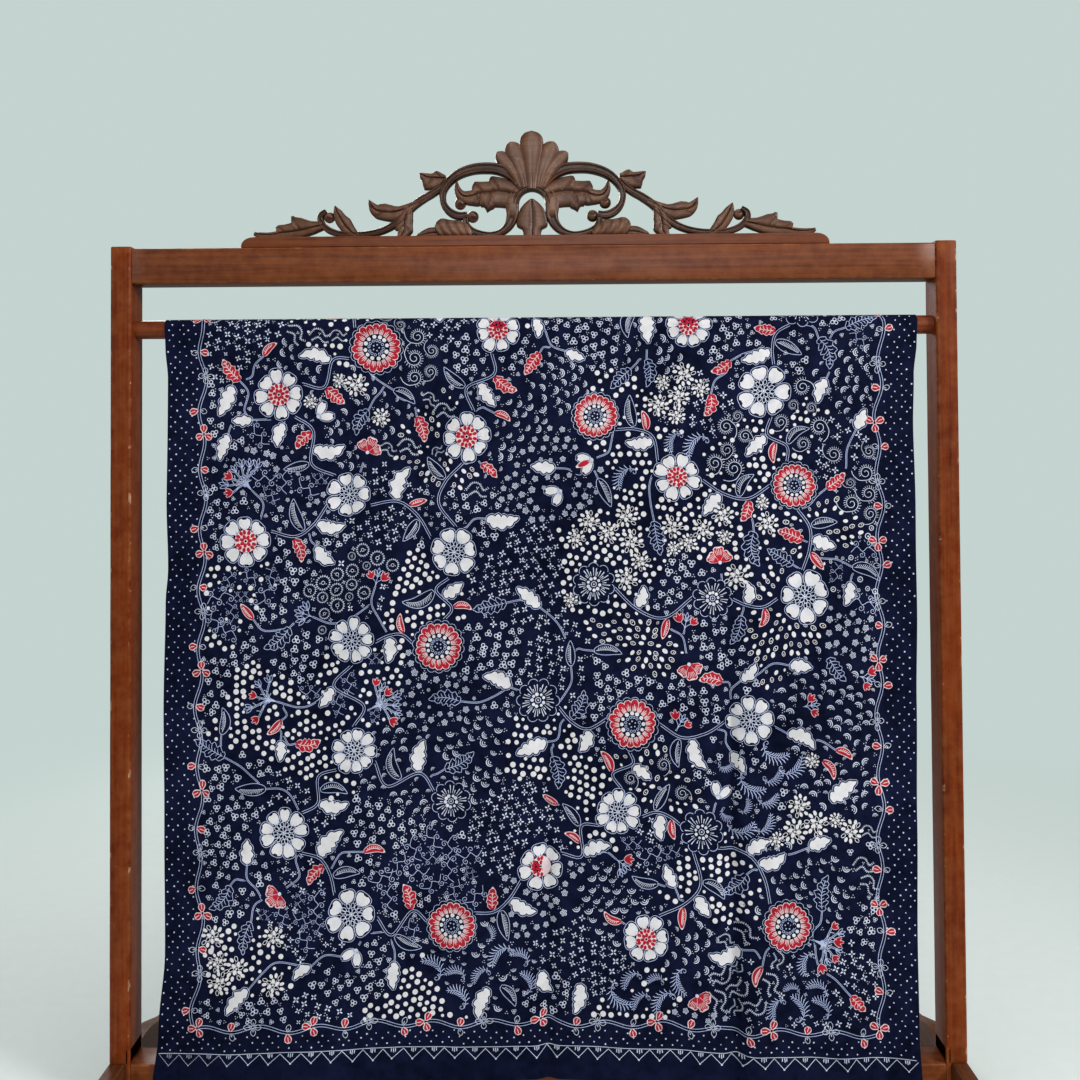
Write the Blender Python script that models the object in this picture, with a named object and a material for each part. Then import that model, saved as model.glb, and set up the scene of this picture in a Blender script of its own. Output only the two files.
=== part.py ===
"""Batik sarong folded in half over the rod of a carved wooden rack.

Metres, +Z up. X runs across the rack, Y from front to back, and the origin is on the floor below
the middle of the rod. The cloth is one rectangle of thin cotton, 1.05 m wide and 2.10 m long. Its
front half hangs in front of the bottom rail and its back half behind it.
"""

import math
from collections import namedtuple

import bmesh
import bpy
from mathutils import Matrix, Vector

MM = 0.001
GAP = 0.0003

# The rack's frame
RACK_WIDTH = 1.172
POST_WIDTH = 0.029
POST_DEPTH = 0.046
POST_TOP = 1.183
POST_EDGE = 0.0035
TOP_RAIL_HEIGHT = 0.049
TOP_RAIL_BOTTOM = 1.1315
TOP_RAIL_DEPTH = 0.042
BOTTOM_RAIL_HEIGHT = 0.045
BOTTOM_RAIL_TOP = 0.059
BOTTOM_RAIL_DEPTH = 0.045
RAIL_EDGE = 0.002

# The feet, one board each, let into the outer side of its post
FOOT_LENGTH = 0.400
FOOT_THICKNESS = 0.022
FOOT_HEIGHT = 0.060
TOE_HEIGHT = 0.024
FOOT_LEVEL_HALF = 0.060
CHEEK_BOTTOM = 0.012

# The rod that the cloth hangs over
ROD_HEIGHT = 1.069
ROD_RADIUS = 0.013
ROD_SIDES = 32
SOCKET_DEPTH = 0.012

# Bolt heads on the outer sides of the posts
BOLT_RADIUS = 0.0045
BOLT_HEAD = 0.0025

# The carved crest and the moulding that it stands on
MOULDING_LEFT = -0.406
MOULDING_RIGHT = 0.413
MOULDING_HEIGHT = 0.0155
MOULDING_DEPTH = 0.034
MOULDING_ROUND_LENGTH = 0.018
MOULDING_ROUND_HEIGHT = 0.013

# The cloth
CLOTH_WALL = 0.0012
ROD_TO_CLOTH = 0.0003
CLOTH_TO_RAIL = 0.0009
ARC_STEPS = 6
DROP_STEPS = 12
COLUMNS = 34

WOOD_RED = (0.235, 0.062, 0.016)
WOOD_DARK = (0.085, 0.038, 0.022)
WOOD_ROD = (0.200, 0.070, 0.025)
CLOTH_NAVY = (0.010, 0.016, 0.055)
STEEL = (0.180, 0.130, 0.090)

Edge = namedtuple("Edge", "height left right")
Hem = namedtuple("Hem", "x height")
Wave = namedtuple("Wave", "x forward")
Crease = namedtuple("Crease", "x_top x_hem depth width start full end")

# Where the cloth's two side edges hang, from the rod down to the hem
SIDE_EDGES = (
    Edge(1.083, -0.5140, 0.5340),
    Edge(1.045, -0.5120, 0.5320),
    Edge(0.998, -0.5080, 0.5270),
    Edge(0.925, -0.5080, 0.5247),
    Edge(0.830, -0.5086, 0.5258),
    Edge(0.735, -0.5058, 0.5250),
    Edge(0.690, -0.5090, 0.5248),
    Edge(0.550, -0.5112, 0.5213),
    Edge(0.390, -0.5092, 0.5185),
    Edge(0.215, -0.5075, 0.5163),
    Edge(0.108, -0.5160, 0.5165),
    Edge(0.020, -0.5250, 0.5205),
)

# The height of the front hem across the cloth
FRONT_HEM = (
    Hem(-0.530, 0.0320),
    Hem(-0.360, 0.0365),
    Hem(-0.130, 0.0450),
    Hem(0.020, 0.0462),
    Hem(0.160, 0.0437),
    Hem(0.262, 0.0340),
    Hem(0.360, 0.0338),
    Hem(0.440, 0.0300),
    Hem(0.540, 0.0235),
)
BACK_HEM = (
    Hem(-0.540, 0.0300),
    Hem(-0.300, 0.0390),
    Hem(0.000, 0.0440),
    Hem(0.300, 0.0400),
    Hem(0.540, 0.0330),
)

# How far the hanging cloth bows out at its hem, between its creases
FRONT_WAVES = (
    Wave(-0.530, 0.0030),
    Wave(-0.390, 0.0110),
    Wave(-0.250, 0.0075),
    Wave(-0.200, 0.0085),
    Wave(-0.150, 0.0080),
    Wave(-0.070, 0.0120),
    Wave(0.016, 0.0090),
    Wave(0.140, 0.0130),
    Wave(0.262, 0.0085),
    Wave(0.300, 0.0180),
    Wave(0.390, 0.0165),
    Wave(0.475, 0.0085),
    Wave(0.530, 0.0110),
)
BACK_WAVES = (
    Wave(-0.530, 0.0050),
    Wave(-0.410, 0.0130),
    Wave(-0.290, 0.0080),
    Wave(-0.150, 0.0140),
    Wave(0.030, 0.0090),
    Wave(0.170, 0.0135),
    Wave(0.310, 0.0080),
    Wave(0.430, 0.0120),
    Wave(0.530, 0.0040),
)

# Long soft creases. start, full and end are heights: where it begins, is deepest and has gone.
FRONT_CREASES = (
    Crease(-0.266, -0.236, 0.0050, 0.013, 1.040, 0.850, 0.560),
    Crease(-0.156, -0.158, 0.0045, 0.014, 1.000, 0.820, 0.600),
    Crease(0.013, 0.016, 0.0070, 0.012, 0.900, 0.150, -0.500),
    Crease(0.262, 0.274, 0.0085, 0.012, 0.980, 0.250, -0.500),
    Crease(0.470, 0.480, 0.0040, 0.020, 0.900, 0.650, 0.350),
)
BACK_CREASES = (
    Crease(-0.300, -0.285, 0.0070, 0.014, 0.950, 0.250, -0.500),
    Crease(0.028, 0.032, 0.0065, 0.013, 0.900, 0.200, -0.500),
    Crease(0.330, 0.305, 0.0060, 0.014, 1.000, 0.400, -0.300),
)

# The carving, in mm: x from the middle, height above the moulding, and half widths to its two sides.
# The rows follow the line along each piece, and every piece but the middle ones is on both sides.
Row = namedtuple("Row", "x height left right")
Ball = namedtuple("Ball", "x height radius")


def band(*rows):
    """Rows of a scroll, which is as wide on its left as on its right."""
    return tuple(Row(x, height, half, half) for x, height, half in rows)


RING_SCROLL = band(
    (14, 66, 5.0), (22, 79, 7.0), (31, 88, 7.6), (46, 95, 7.6), (63, 97, 7.4), (83, 95.5, 7.0),
    (103, 88.5, 6.4), (117, 77, 5.5), (124.5, 64, 4.5), (125, 51, 4.4), (120, 40, 4.9), (111, 32.5, 5.4),
    (101, 29.5, 5.4), (91, 31, 4.4),
)
HEART_SCROLL = band(
    (93, 29, 4.0), (93, 20, 4.4), (89, 12.5, 4.8), (81, 7, 4.5), (69, 3.5, 4.0), (55, 2, 3.8),
    (42, 4, 4.2), (32, 10, 4.8), (26.5, 19, 5.4), (24, 31, 5.8), (23, 43, 6.0), (20, 56, 6.0), (16, 66, 5.0),
)
LONG_ARM = band(
    (120, 80, 4.2), (128, 70, 4.8), (139, 62, 5.0), (153, 54, 5.4), (168, 43, 5.6), (180, 30, 5.2),
    (194, 18, 4.8), (211, 9.5, 4.6), (231, 5, 4.4), (250, 4, 4.2), (265, 4.5, 4.2), (279, 8, 4.4),
    (290, 14, 4.6), (297, 23, 4.5), (296.5, 32, 4.1), (289, 38, 3.0),
)
SCROLL_BALLS = (Ball(83.5, 28.5, 8.6), Ball(101, 47, 8.6), Ball(285.5, 29, 8.0))
INNER_LEAF = (
    Row(19, 58, 12, 13), Row(33, 62, 17, 22), Row(45, 63.5, 20, 22), Row(55, 63.5, 22, 22),
    Row(58, 63, 15, 24), Row(65.5, 62.5, 15, 28.5), Row(70, 62, 15.5, 20), Row(76.4, 61, 17, 19),
    Row(79, 60, 11, 18), Row(82, 58.5, 7.5, 16), Row(91, 56.5, 8, 11), Row(99, 59, 7, 8),
    Row(104, 67, 4.5, 5), Row(105.5, 79, 0.8, 0.8),
)
SHELL_LEAF = (
    Row(84, 7, 5, 7), Row(92, 8, 11, 10), Row(100, 9, 12.5, 12), Row(112, 10, 12, 14),
    Row(118, 10, 14.5, 14), Row(124, 9, 16.5, 12), Row(130, 8, 13, 11), Row(133, 6, 5, 9),
    Row(139, 5, 6, 8), Row(147, 4, 5.5, 7), Row(155, 2, 4, 5), Row(160, 0, 1.5, 3),
)
RING_LEAF = (
    Row(121, 83, 4, 5), Row(130, 83, 9, 12), Row(135, 83.5, 10, 16), Row(141, 84, 5.5, 17),
    Row(147, 85, 5, 18.5), Row(150, 86, 4.5, 9), Row(154, 88, 3, 6), Row(157.5, 90, 0.8, 0.8),
)
BOAT_LEAF = (
    Row(160, 49, 4, 5), Row(172, 43, 5, 6), Row(185, 38, 6, 10), Row(196, 35.5, 10, 13),
    Row(207, 36, 12, 12), Row(216, 37.5, 10, 11), Row(221, 40, 8, 8), Row(225, 45, 5.5, 5),
    Row(229, 53, 0.8, 0.8),
)
HANGING_LEAF = (
    Row(172, 44, 4, 5), Row(175, 36, 8, 8), Row(178, 27, 12, 11), Row(179.5, 18, 13, 11.5),
    Row(180, 9, 13, 12.5), Row(181, 5.5, 11, 8), Row(183, 3, 6.5, 5.5), Row(184, -4, 6, 5.5),
)
CURLED_LEAF = (
    Row(243, 2, 3, 4), Row(252, 7, 7, 7), Row(260, 14, 10, 9), Row(265, 21, 11, 9.5),
    Row(269, 28, 8, 9.5), Row(273, 36, 6, 7), Row(277, 45, 0.8, 0.8),
)
OUTER_LEAF = (
    Row(294, 18, 5, 6), Row(308, 15, 9, 9), Row(320, 12, 17, 10), Row(330, 10, 20.5, 11),
    Row(334, 9.5, 23, 11), Row(336, 9, 13, 11), Row(346, 8, 11.5, 10), Row(356, 7, 11.5, 9),
    Row(358, 6, 4, 8), Row(370, 5, 3.5, 7), Row(382, 5.5, 3, 6.5), Row(390, 8, 1, 4),
)
MIDDLE_LOBE = band(
    (0, 66, 6), (0, 85, 8), (0, 102, 10.5), (0, 120, 14.5), (0, 131, 15.8), (0, 139, 13.5),
    (0, 144, 9), (0, 147, 3),
)
NEAR_LOBE = band(
    (9, 68, 4), (13, 86, 6.2), (17.5, 102, 8), (22.5, 116, 9.8), (26.5, 124.5, 9.8), (28.5, 129.5, 7),
    (29.5, 132.5, 3),
)
FAR_LOBE = band(
    (15, 69, 3.5), (22, 87, 6), (31, 101, 7), (39, 109, 7.6), (44, 113.5, 7), (47.5, 116, 4.6),
    (49.5, 117, 1.5),
)
BUD = band((0, -3, 11), (0, 9, 13.5), (0, 20, 17), (0, 30, 18.4), (0, 39, 15.5), (0, 46, 10), (0, 51, 3))
ARCH_CENTRE = 46
ARCH_RADIUS = 22
ARCH_HALF_WIDTH = 4.0

# Each carved piece: its rows, its half thickness at the ridge and at the edge, and how many even steps
# it is swept in. With no steps the piece is swept through its own rows.
Carving = namedtuple("Carving", "rows steps ridge edge both_sides")
CARVINGS = (
    Carving(RING_SCROLL, 18, 9.0, 5.0, True),
    Carving(HEART_SCROLL, 15, 8.4, 4.6, True),
    Carving(LONG_ARM, 21, 7.8, 4.2, True),
    Carving(INNER_LEAF, 0, 7.2, 3.6, True),
    Carving(SHELL_LEAF, 0, 6.8, 3.3, True),
    Carving(RING_LEAF, 0, 6.2, 2.9, True),
    Carving(BOAT_LEAF, 0, 6.5, 3.1, True),
    Carving(HANGING_LEAF, 0, 6.0, 2.8, True),
    Carving(CURLED_LEAF, 0, 6.3, 3.0, True),
    Carving(OUTER_LEAF, 0, 6.6, 3.2, True),
    Carving(NEAR_LOBE, 0, 9.6, 5.4, True),
    Carving(FAR_LOBE, 0, 8.7, 4.8, True),
    Carving(BUD, 0, 8.1, 4.4, False),
    Carving(MIDDLE_LOBE, 0, 11.0, 6.2, False),
)
# The carver cut the right side a little longer than the left
SIDE_STRETCH = {-1: 1.0, 1: 1.015}


def clear_scene():
    for thing in list(bpy.data.objects):
        bpy.data.objects.remove(thing, do_unlink=True)


def finish(name, color, roughness, metallic=0.0):
    material = bpy.data.materials.new(name)
    material.use_nodes = True
    shader = material.node_tree.nodes["Principled BSDF"]
    shader.inputs["Base Color"].default_value = (*color, 1.0)
    shader.inputs["Roughness"].default_value = roughness
    shader.inputs["Metallic"].default_value = metallic
    return material


def object_from(name, mesh, material):
    thing = bpy.data.objects.new(name, mesh)
    bpy.context.scene.collection.objects.link(thing)
    if material is not None:
        mesh.materials.append(material)
    return thing


def mesh_from(name, points, faces):
    mesh = bpy.data.meshes.new(name)
    mesh.from_pydata([tuple(p) for p in points], [], faces)
    mesh.update()
    shape = bmesh.new()
    shape.from_mesh(mesh)
    bmesh.ops.recalc_face_normals(shape, faces=shape.faces)
    shape.to_mesh(mesh)
    shape.free()
    return mesh


def round_edges(thing, width, segments=2, angle=30):
    bevel = thing.modifiers.new("rounded_edges", "BEVEL")
    bevel.width = width
    bevel.segments = segments
    bevel.limit_method = "ANGLE"
    bevel.angle_limit = math.radians(angle)
    return thing


def cut(thing, cutter):
    cutter.hide_render = True
    cutter.display_type = "WIRE"
    boolean = thing.modifiers.new("cut", "BOOLEAN")
    boolean.operation = "DIFFERENCE"
    boolean.solver = "EXACT"
    boolean.object = cutter
    return thing


def extruded(name, outline, axis, low, high, material):
    """A flat outline, drawn in the plane across axis, made solid from low to high along it."""
    place = {
        "X": lambda u, v, w: (w, u, v),
        "Y": lambda u, v, w: (u, w, v),
        "Z": lambda u, v, w: (u, v, w),
    }[axis]
    count = len(outline)
    points = [place(u, v, low) for u, v in outline] + [place(u, v, high) for u, v in outline]
    sides = [(i, (i + 1) % count, count + (i + 1) % count, count + i) for i in range(count)]
    ends = [tuple(range(count)), tuple(range(count, 2 * count))]
    return object_from(name, mesh_from(name, points, sides + ends), material)


def cylinder_along_x(name, radius, sides, low, high, height, material):
    """A round bar along X, from low to high."""
    outline = [
        (radius * math.cos(2 * math.pi * i / sides), height + radius * math.sin(2 * math.pi * i / sides))
        for i in range(sides)
    ]
    thing = extruded(name, outline, "X", low, high, material)
    thing.data.shade_smooth()
    thing.data.set_sharp_from_angle(angle=math.radians(40))
    return thing


def build_post(name, side, material):
    """One post, with the thin cheek that runs down behind the foot board to its outer side."""
    outer = side * RACK_WIDTH / 2
    inner = outer - side * POST_WIDTH
    lap = outer - side * (FOOT_THICKNESS + GAP)
    middle = (outer + inner) / 2
    outline = []
    for quarter, (sx, sy) in enumerate(((1, 1), (-1, 1), (-1, -1), (1, -1))):
        for step in range(3):
            angle = math.radians(90 * quarter + 45 * step)
            outline.append((
                middle + sx * (POST_WIDTH / 2 - POST_EDGE) + POST_EDGE * math.cos(angle),
                sy * (POST_DEPTH / 2 - POST_EDGE) + POST_EDGE * math.sin(angle),
            ))
    post = extruded(name, outline, "Z", CHEEK_BOTTOM, POST_TOP, material)
    board = [
        (lap, CHEEK_BOTTOM - FOOT_HEIGHT),
        (outer + side * POST_WIDTH, CHEEK_BOTTOM - FOOT_HEIGHT),
        (outer + side * POST_WIDTH, FOOT_HEIGHT + GAP),
        (lap, FOOT_HEIGHT + GAP),
    ]
    cut(post, extruded(f"{name}_foot_lap", board, "Y", -POST_DEPTH, POST_DEPTH, None))
    ends = sorted((inner - side * POST_WIDTH, inner + side * SOCKET_DEPTH))
    radius = ROD_RADIUS + GAP
    socket = cylinder_along_x(f"{name}_rod_socket", radius, ROD_SIDES, ends[0], ends[1], ROD_HEIGHT, None)
    return cut(post, socket)


def build_foot(name, side, material):
    """A foot board on edge, running from front to back, with its toes curved down."""
    half = FOOT_LENGTH / 2
    tip = half - 0.002
    curve = [
        (tip - (tip - FOOT_LEVEL_HALF) * t, TOE_HEIGHT + (FOOT_HEIGHT - TOE_HEIGHT) * rise(t))
        for t in (0.0, 0.15, 0.3, 0.5, 0.7, 0.85, 1.0)
    ]
    front = [(-y, z) for y, z in reversed(curve)]
    toe = TOE_HEIGHT - 0.004
    outline = [(-half, 0.0), (half, 0.0), (half, toe)] + curve + front + [(-half, toe)]
    outer = side * RACK_WIDTH / 2
    inner = outer - side * FOOT_THICKNESS
    return extruded(name, outline, "X", min(outer, inner), max(outer, inner), material)


def build_rail(name, bottom, height, depth, material):
    """A rail between the two posts."""
    half = RACK_WIDTH / 2 - POST_WIDTH - GAP
    outline = [(-half, bottom), (half, bottom), (half, bottom + height), (-half, bottom + height)]
    return round_edges(extruded(name, outline, "Y", -depth / 2, depth / 2, material), RAIL_EDGE, 1)


def build_moulding(material):
    """The strip on the top rail, with its two upper corners rounded, which carries the carving."""
    bottom = TOP_RAIL_BOTTOM + TOP_RAIL_HEIGHT + GAP
    top = bottom + MOULDING_HEIGHT
    outline = [(MOULDING_LEFT, bottom), (MOULDING_RIGHT, bottom)]
    ends = ((MOULDING_RIGHT, 1, range(0, 91, 18)), (MOULDING_LEFT, -1, range(90, -1, -18)))
    for end, side, angles in ends:
        for angle in angles:
            inward = MOULDING_ROUND_LENGTH * (1 - math.cos(math.radians(angle)))
            down = MOULDING_ROUND_HEIGHT * (1 - math.sin(math.radians(angle)))
            outline.append((end - side * inward, top - down))
    return extruded("crest_moulding", outline, "Y", -MOULDING_DEPTH / 2, MOULDING_DEPTH / 2, material)


def build_bolt_head(name, side, height, material):
    outer = side * (RACK_WIDTH / 2 + GAP)
    ends = sorted((outer, outer + side * BOLT_HEAD))
    return cylinder_along_x(name, BOLT_RADIUS, 12, ends[0], ends[1], height, material)


def rise(t):
    """A smooth step from 0 to 1."""
    t = min(1.0, max(0.0, t))
    return t * t * (3 - 2 * t)


def smooth_table(rows, at, key, value):
    """Reads a table between its rows, with a flat slope at each row."""
    if (at - getattr(rows[0], key)) * (at - getattr(rows[-1], key)) >= 0:
        near = min(rows, key=lambda row: abs(getattr(row, key) - at))
        return getattr(near, value)
    for low, high in zip(rows, rows[1:]):
        a, b = getattr(low, key), getattr(high, key)
        if (at - a) * (at - b) <= 0:
            t = rise((at - a) / (b - a))
            return getattr(low, value) * (1 - t) + getattr(high, value) * t
    return getattr(rows[-1], value)


def crease_depth(creases, x, height):
    """How far the creases draw the cloth back towards the rack."""
    total = 0.0
    for crease in creases:
        if height > crease.full:
            strength = rise((crease.start - height) / (crease.start - crease.full))
        else:
            strength = rise((height - crease.end) / (crease.full - crease.end))
        down = (ROD_HEIGHT - height) / ROD_HEIGHT
        middle = crease.x_top + (crease.x_hem - crease.x_top) * down
        total += crease.depth * strength * math.exp(-(((x - middle) / crease.width) ** 2))
    return total


class Drop:
    """One half of the cloth: the front half has facing -1 and hangs towards -Y."""

    def __init__(self, facing, hem, waves, creases):
        self.facing = facing
        self.hem = hem
        self.waves = waves
        self.creases = creases
        self.radius = ROD_RADIUS + ROD_TO_CLOTH + CLOTH_WALL / 2
        self.rail_plane = BOTTOM_RAIL_DEPTH / 2 + CLOTH_TO_RAIL + CLOTH_WALL / 2

    def across(self, share, height):
        """X of a point that is this share of the way from the left edge to the right one."""
        left = smooth_table(SIDE_EDGES, height, "height", "left")
        right = smooth_table(SIDE_EDGES, height, "height", "right")
        return left + (right - left) * share

    def on_rod(self, share, angle):
        height = ROD_HEIGHT + self.radius * math.cos(angle)
        return Vector((self.across(share, height), self.facing * self.radius * math.sin(angle), height))

    def hanging(self, share, down):
        """A point below the rod; down runs from 0 at the rod's height to 1 at the hem."""
        hem = smooth_table(self.hem, self.across(share, 0.03), "x", "height")
        height = ROD_HEIGHT - down * (ROD_HEIGHT - hem)
        x = self.across(share, height)
        lean = (self.rail_plane - self.radius) * min(1.0, down / 0.97)
        bow = smooth_table(self.waves, x, "x", "forward") * rise(down * 1.05) ** 0.8
        out = self.radius + lean + bow - crease_depth(self.creases, x, height)
        return Vector((x, self.facing * out, height))

    def grid(self, columns):
        """Rows of points of the cloth's middle surface, from the top of the rod down to the hem."""
        first = (ROD_TO_CLOTH / 2) / self.radius
        rows = []
        for i in range(ARC_STEPS):
            angle = first + (math.pi / 2 - first) * i / ARC_STEPS
            rows.append([self.on_rod(share, angle) for share in columns])
        for i in range(DROP_STEPS + 1):
            rows.append([self.hanging(share, i / DROP_STEPS) for share in columns])
        return rows


def cloth_columns(drop):
    """Shares across the cloth: even columns, and closer ones at each crease."""
    shares = [i / COLUMNS for i in range(COLUMNS + 1)]
    width = SIDE_EDGES[0].right - SIDE_EDGES[0].left
    for crease in drop.creases:
        middle = ((crease.x_top + crease.x_hem) / 2 - SIDE_EDGES[0].left) / width
        step = 0.9 * crease.width / width
        shares = [s for s in shares if abs(s - middle) > 2.3 * step]
        shares += [middle + step * k for k in (-2, -1, 0, 1, 2)]
    return sorted(s for s in shares if 0.0 <= s <= 1.0)


def build_cloth(name, drop, material):
    """A wall of the cloth's thickness round the middle surface of one drop."""
    rows = drop.grid(cloth_columns(drop))
    tall, wide = len(rows), len(rows[0])
    inner, outer = [], []
    for r in range(tall):
        for c in range(wide):
            along = rows[r][min(c + 1, wide - 1)] - rows[r][max(c - 1, 0)]
            down = rows[min(r + 1, tall - 1)][c] - rows[max(r - 1, 0)][c]
            normal = along.cross(down).normalized() * drop.facing
            if r == 0:
                normal = Vector((0.0, 0.0, 1.0))
            offset = normal * CLOTH_WALL / 2
            outer.append(rows[r][c] + offset)
            inner.append(rows[r][c] - offset)
    count = tall * wide
    faces = []
    for r in range(tall - 1):
        for c in range(wide - 1):
            a, b = r * wide + c, r * wide + c + 1
            faces.append((a, b, b + wide, a + wide))
            faces.append((count + a, count + a + wide, count + b + wide, count + b))
    rim = list(range(wide))
    rim += [r * wide + wide - 1 for r in range(1, tall)]
    rim += [(tall - 1) * wide + c for c in range(wide - 2, -1, -1)]
    rim += [r * wide for r in range(tall - 2, 0, -1)]
    for a, b in zip(rim, rim[1:] + rim[:1]):
        faces.append((a, count + a, count + b, b))
    thing = object_from(name, mesh_from(name, outer + inner, faces), material)
    thing.data.shade_smooth()
    thing.data.set_sharp_from_angle(angle=math.radians(50))
    return thing


def smooth_line(rows, steps):
    """Reads a table of carving rows as one smooth curve, at even steps of its length."""
    values = [Vector((row.x, row.height, row.left, row.right)) for row in rows]
    padded = [2 * values[0] - values[1]] + values + [2 * values[-1] - values[-2]]
    fine = []
    for i in range(1, len(padded) - 2):
        p0, p1, p2, p3 = padded[i - 1 : i + 3]
        for k in range(8):
            t = k / 8
            square = 2 * p0 - 5 * p1 + 4 * p2 - p3
            cube = 3 * p1 - 3 * p2 + p3 - p0
            fine.append(0.5 * (2 * p1 + (p2 - p0) * t + square * t**2 + cube * t**3))
    fine.append(values[-1])
    lengths = [0.0]
    for a, b in zip(fine, fine[1:]):
        lengths.append(lengths[-1] + (b.xy - a.xy).length)
    found = []
    for k in range(steps + 1):
        want = lengths[-1] * k / steps
        i = next((j for j in range(1, len(fine)) if lengths[j] >= want - 1e-9), len(fine) - 1)
        t = (want - lengths[i - 1]) / max(1e-9, lengths[i] - lengths[i - 1])
        found.append(fine[i - 1].lerp(fine[i], t))
    return found


def carved_solid(name, carving, side, base):
    """Sweeps one carved piece: thick along its middle line and thinner at its two edges."""
    if carving.steps:
        line = smooth_line(carving.rows, carving.steps)
    else:
        line = [Vector(row) for row in carving.rows]
    points, faces = [], []
    sides = 6
    for k, row in enumerate(line):
        ahead = line[min(k + 1, len(line) - 1)].xy - line[max(k - 1, 0)].xy
        across = Vector((-ahead.y, ahead.x)).normalized()
        left, right = max(0.6, row[2]), max(0.6, row[3])
        narrow = min(1.0, (left + right) / 6.0)
        ridge, edge = carving.ridge * (0.55 + 0.45 * narrow), carving.edge * (0.55 + 0.45 * narrow)
        ring = ((left, -edge), (0.0, -ridge), (-right, -edge), (-right, edge), (0.0, ridge), (left, edge))
        for offset, y in ring:
            flat = row.xy + across * offset
            points.append(Vector((side * SIDE_STRETCH[side] * flat.x * MM, y * MM, base + flat.y * MM)))
    for k in range(len(line) - 1):
        for i in range(sides):
            j = (i + 1) % sides
            faces.append((k * sides + i, k * sides + j, (k + 1) * sides + j, (k + 1) * sides + i))
    faces.append(tuple(range(sides)))
    faces.append(tuple(range((len(line) - 1) * sides, len(line) * sides)))
    return object_from(name, mesh_from(name, points, faces), None)


def carved_ball(name, ball, side, base):
    """The round eye in the middle of a scroll's end."""
    shape = bmesh.new()
    bmesh.ops.create_uvsphere(shape, u_segments=10, v_segments=6, radius=ball.radius * MM)
    mesh = bpy.data.meshes.new(name)
    shape.to_mesh(mesh)
    shape.free()
    mesh.transform(Matrix.Rotation(math.pi / 2, 4, "X"))
    thing = object_from(name, mesh, None)
    thing.location = (side * SIDE_STRETCH[side] * ball.x * MM, 0.0, base + ball.height * MM)
    return thing


def arch_rows():
    """The half ring below the shell."""
    rows = []
    for i in range(9):
        angle = math.pi * i / 8
        rows.append(
            Row(
                -ARCH_RADIUS * math.cos(angle),
                ARCH_CENTRE + ARCH_RADIUS * math.sin(angle),
                ARCH_HALF_WIDTH,
                ARCH_HALF_WIDTH,
            )
        )
    return tuple(rows)


def build_crest(material):
    """The pierced carving: scrolls and leaves on both sides of a shell, joined as one board."""
    base = TOP_RAIL_BOTTOM + TOP_RAIL_HEIGHT + MOULDING_HEIGHT + 2 * GAP
    crest = carved_solid("carved_crest", Carving(arch_rows(), 0, 10.2, 5.8, False), 1, base)
    crest.data.materials.append(material)
    pieces = []
    for number, carving in enumerate(CARVINGS):
        for side in (1, -1) if carving.both_sides else (1,):
            pieces.append(carved_solid(f"carving_{number}_{side}", carving, side, base))
    for number, ball in enumerate(SCROLL_BALLS):
        for side in (1, -1):
            pieces.append(carved_ball(f"carving_ball_{number}_{side}", ball, side, base))
    floor = [(-RACK_WIDTH, 0.0), (RACK_WIDTH, 0.0), (RACK_WIDTH, base), (-RACK_WIDTH, base)]
    below = extruded("carving_trim", floor, "Y", -POST_DEPTH, POST_DEPTH, None)
    for piece in pieces:
        piece.hide_render = True
        piece.display_type = "WIRE"
        union = crest.modifiers.new("joined", "BOOLEAN")
        union.operation = "UNION"
        union.solver = "EXACT"
        union.object = piece
    return cut(crest, below)


def main():
    clear_scene()
    wood_red = finish("red_brown_wood", WOOD_RED, 0.42)
    wood_dark = finish("dark_carved_wood", WOOD_DARK, 0.5)
    wood_rod = finish("rod_wood", WOOD_ROD, 0.35)
    cotton = finish("navy_cotton", CLOTH_NAVY, 0.85)
    steel = finish("bolt_steel", STEEL, 0.5, 0.8)

    for name, side in (("left", -1), ("right", 1)):
        build_post(f"post_{name}", side, wood_red)
        build_foot(f"foot_{name}", side, wood_dark)
        build_bolt_head(f"top_bolt_{name}", side, TOP_RAIL_BOTTOM + TOP_RAIL_HEIGHT / 2, steel)
    build_bolt_head("foot_bolt_left", -1, FOOT_HEIGHT - 2.2 * BOLT_RADIUS, steel)
    build_rail("top_rail", TOP_RAIL_BOTTOM, TOP_RAIL_HEIGHT, TOP_RAIL_DEPTH, wood_red)
    low = BOTTOM_RAIL_TOP - BOTTOM_RAIL_HEIGHT
    build_rail("bottom_rail", low, BOTTOM_RAIL_HEIGHT, BOTTOM_RAIL_DEPTH, wood_red)
    half_rod = RACK_WIDTH / 2 - POST_WIDTH + SOCKET_DEPTH - GAP
    cylinder_along_x("hanging_rod", ROD_RADIUS, ROD_SIDES, -half_rod, half_rod, ROD_HEIGHT, wood_rod)
    build_moulding(wood_red)
    build_crest(wood_dark)
    build_cloth("sarong_front", Drop(-1, FRONT_HEM, FRONT_WAVES, FRONT_CREASES), cotton)
    build_cloth("sarong_back", Drop(1, BACK_HEM, BACK_WAVES, BACK_CREASES), cotton)


main()
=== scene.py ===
"""Dresses the batik sarong and the carved rack that it hangs on.

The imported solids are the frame, in metres, +Z up. The cloth is one thin shell on the two cloth solids.
Its ornament is laid out flat, in millimetres from the left end of the front hem, and then laid on the
hanging cloth as thin shapes, one piece for each colour on each half. The wooden rack keeps its sizes
and gets rounded, worn edges, a carved relief and varnish.
"""

import logging
import math
from abc import ABC, abstractmethod
from dataclasses import dataclass, field
from enum import Enum
from typing import Iterator, Sequence

import bmesh
import bpy
import numpy as np
from mathutils import Matrix, Vector


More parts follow.
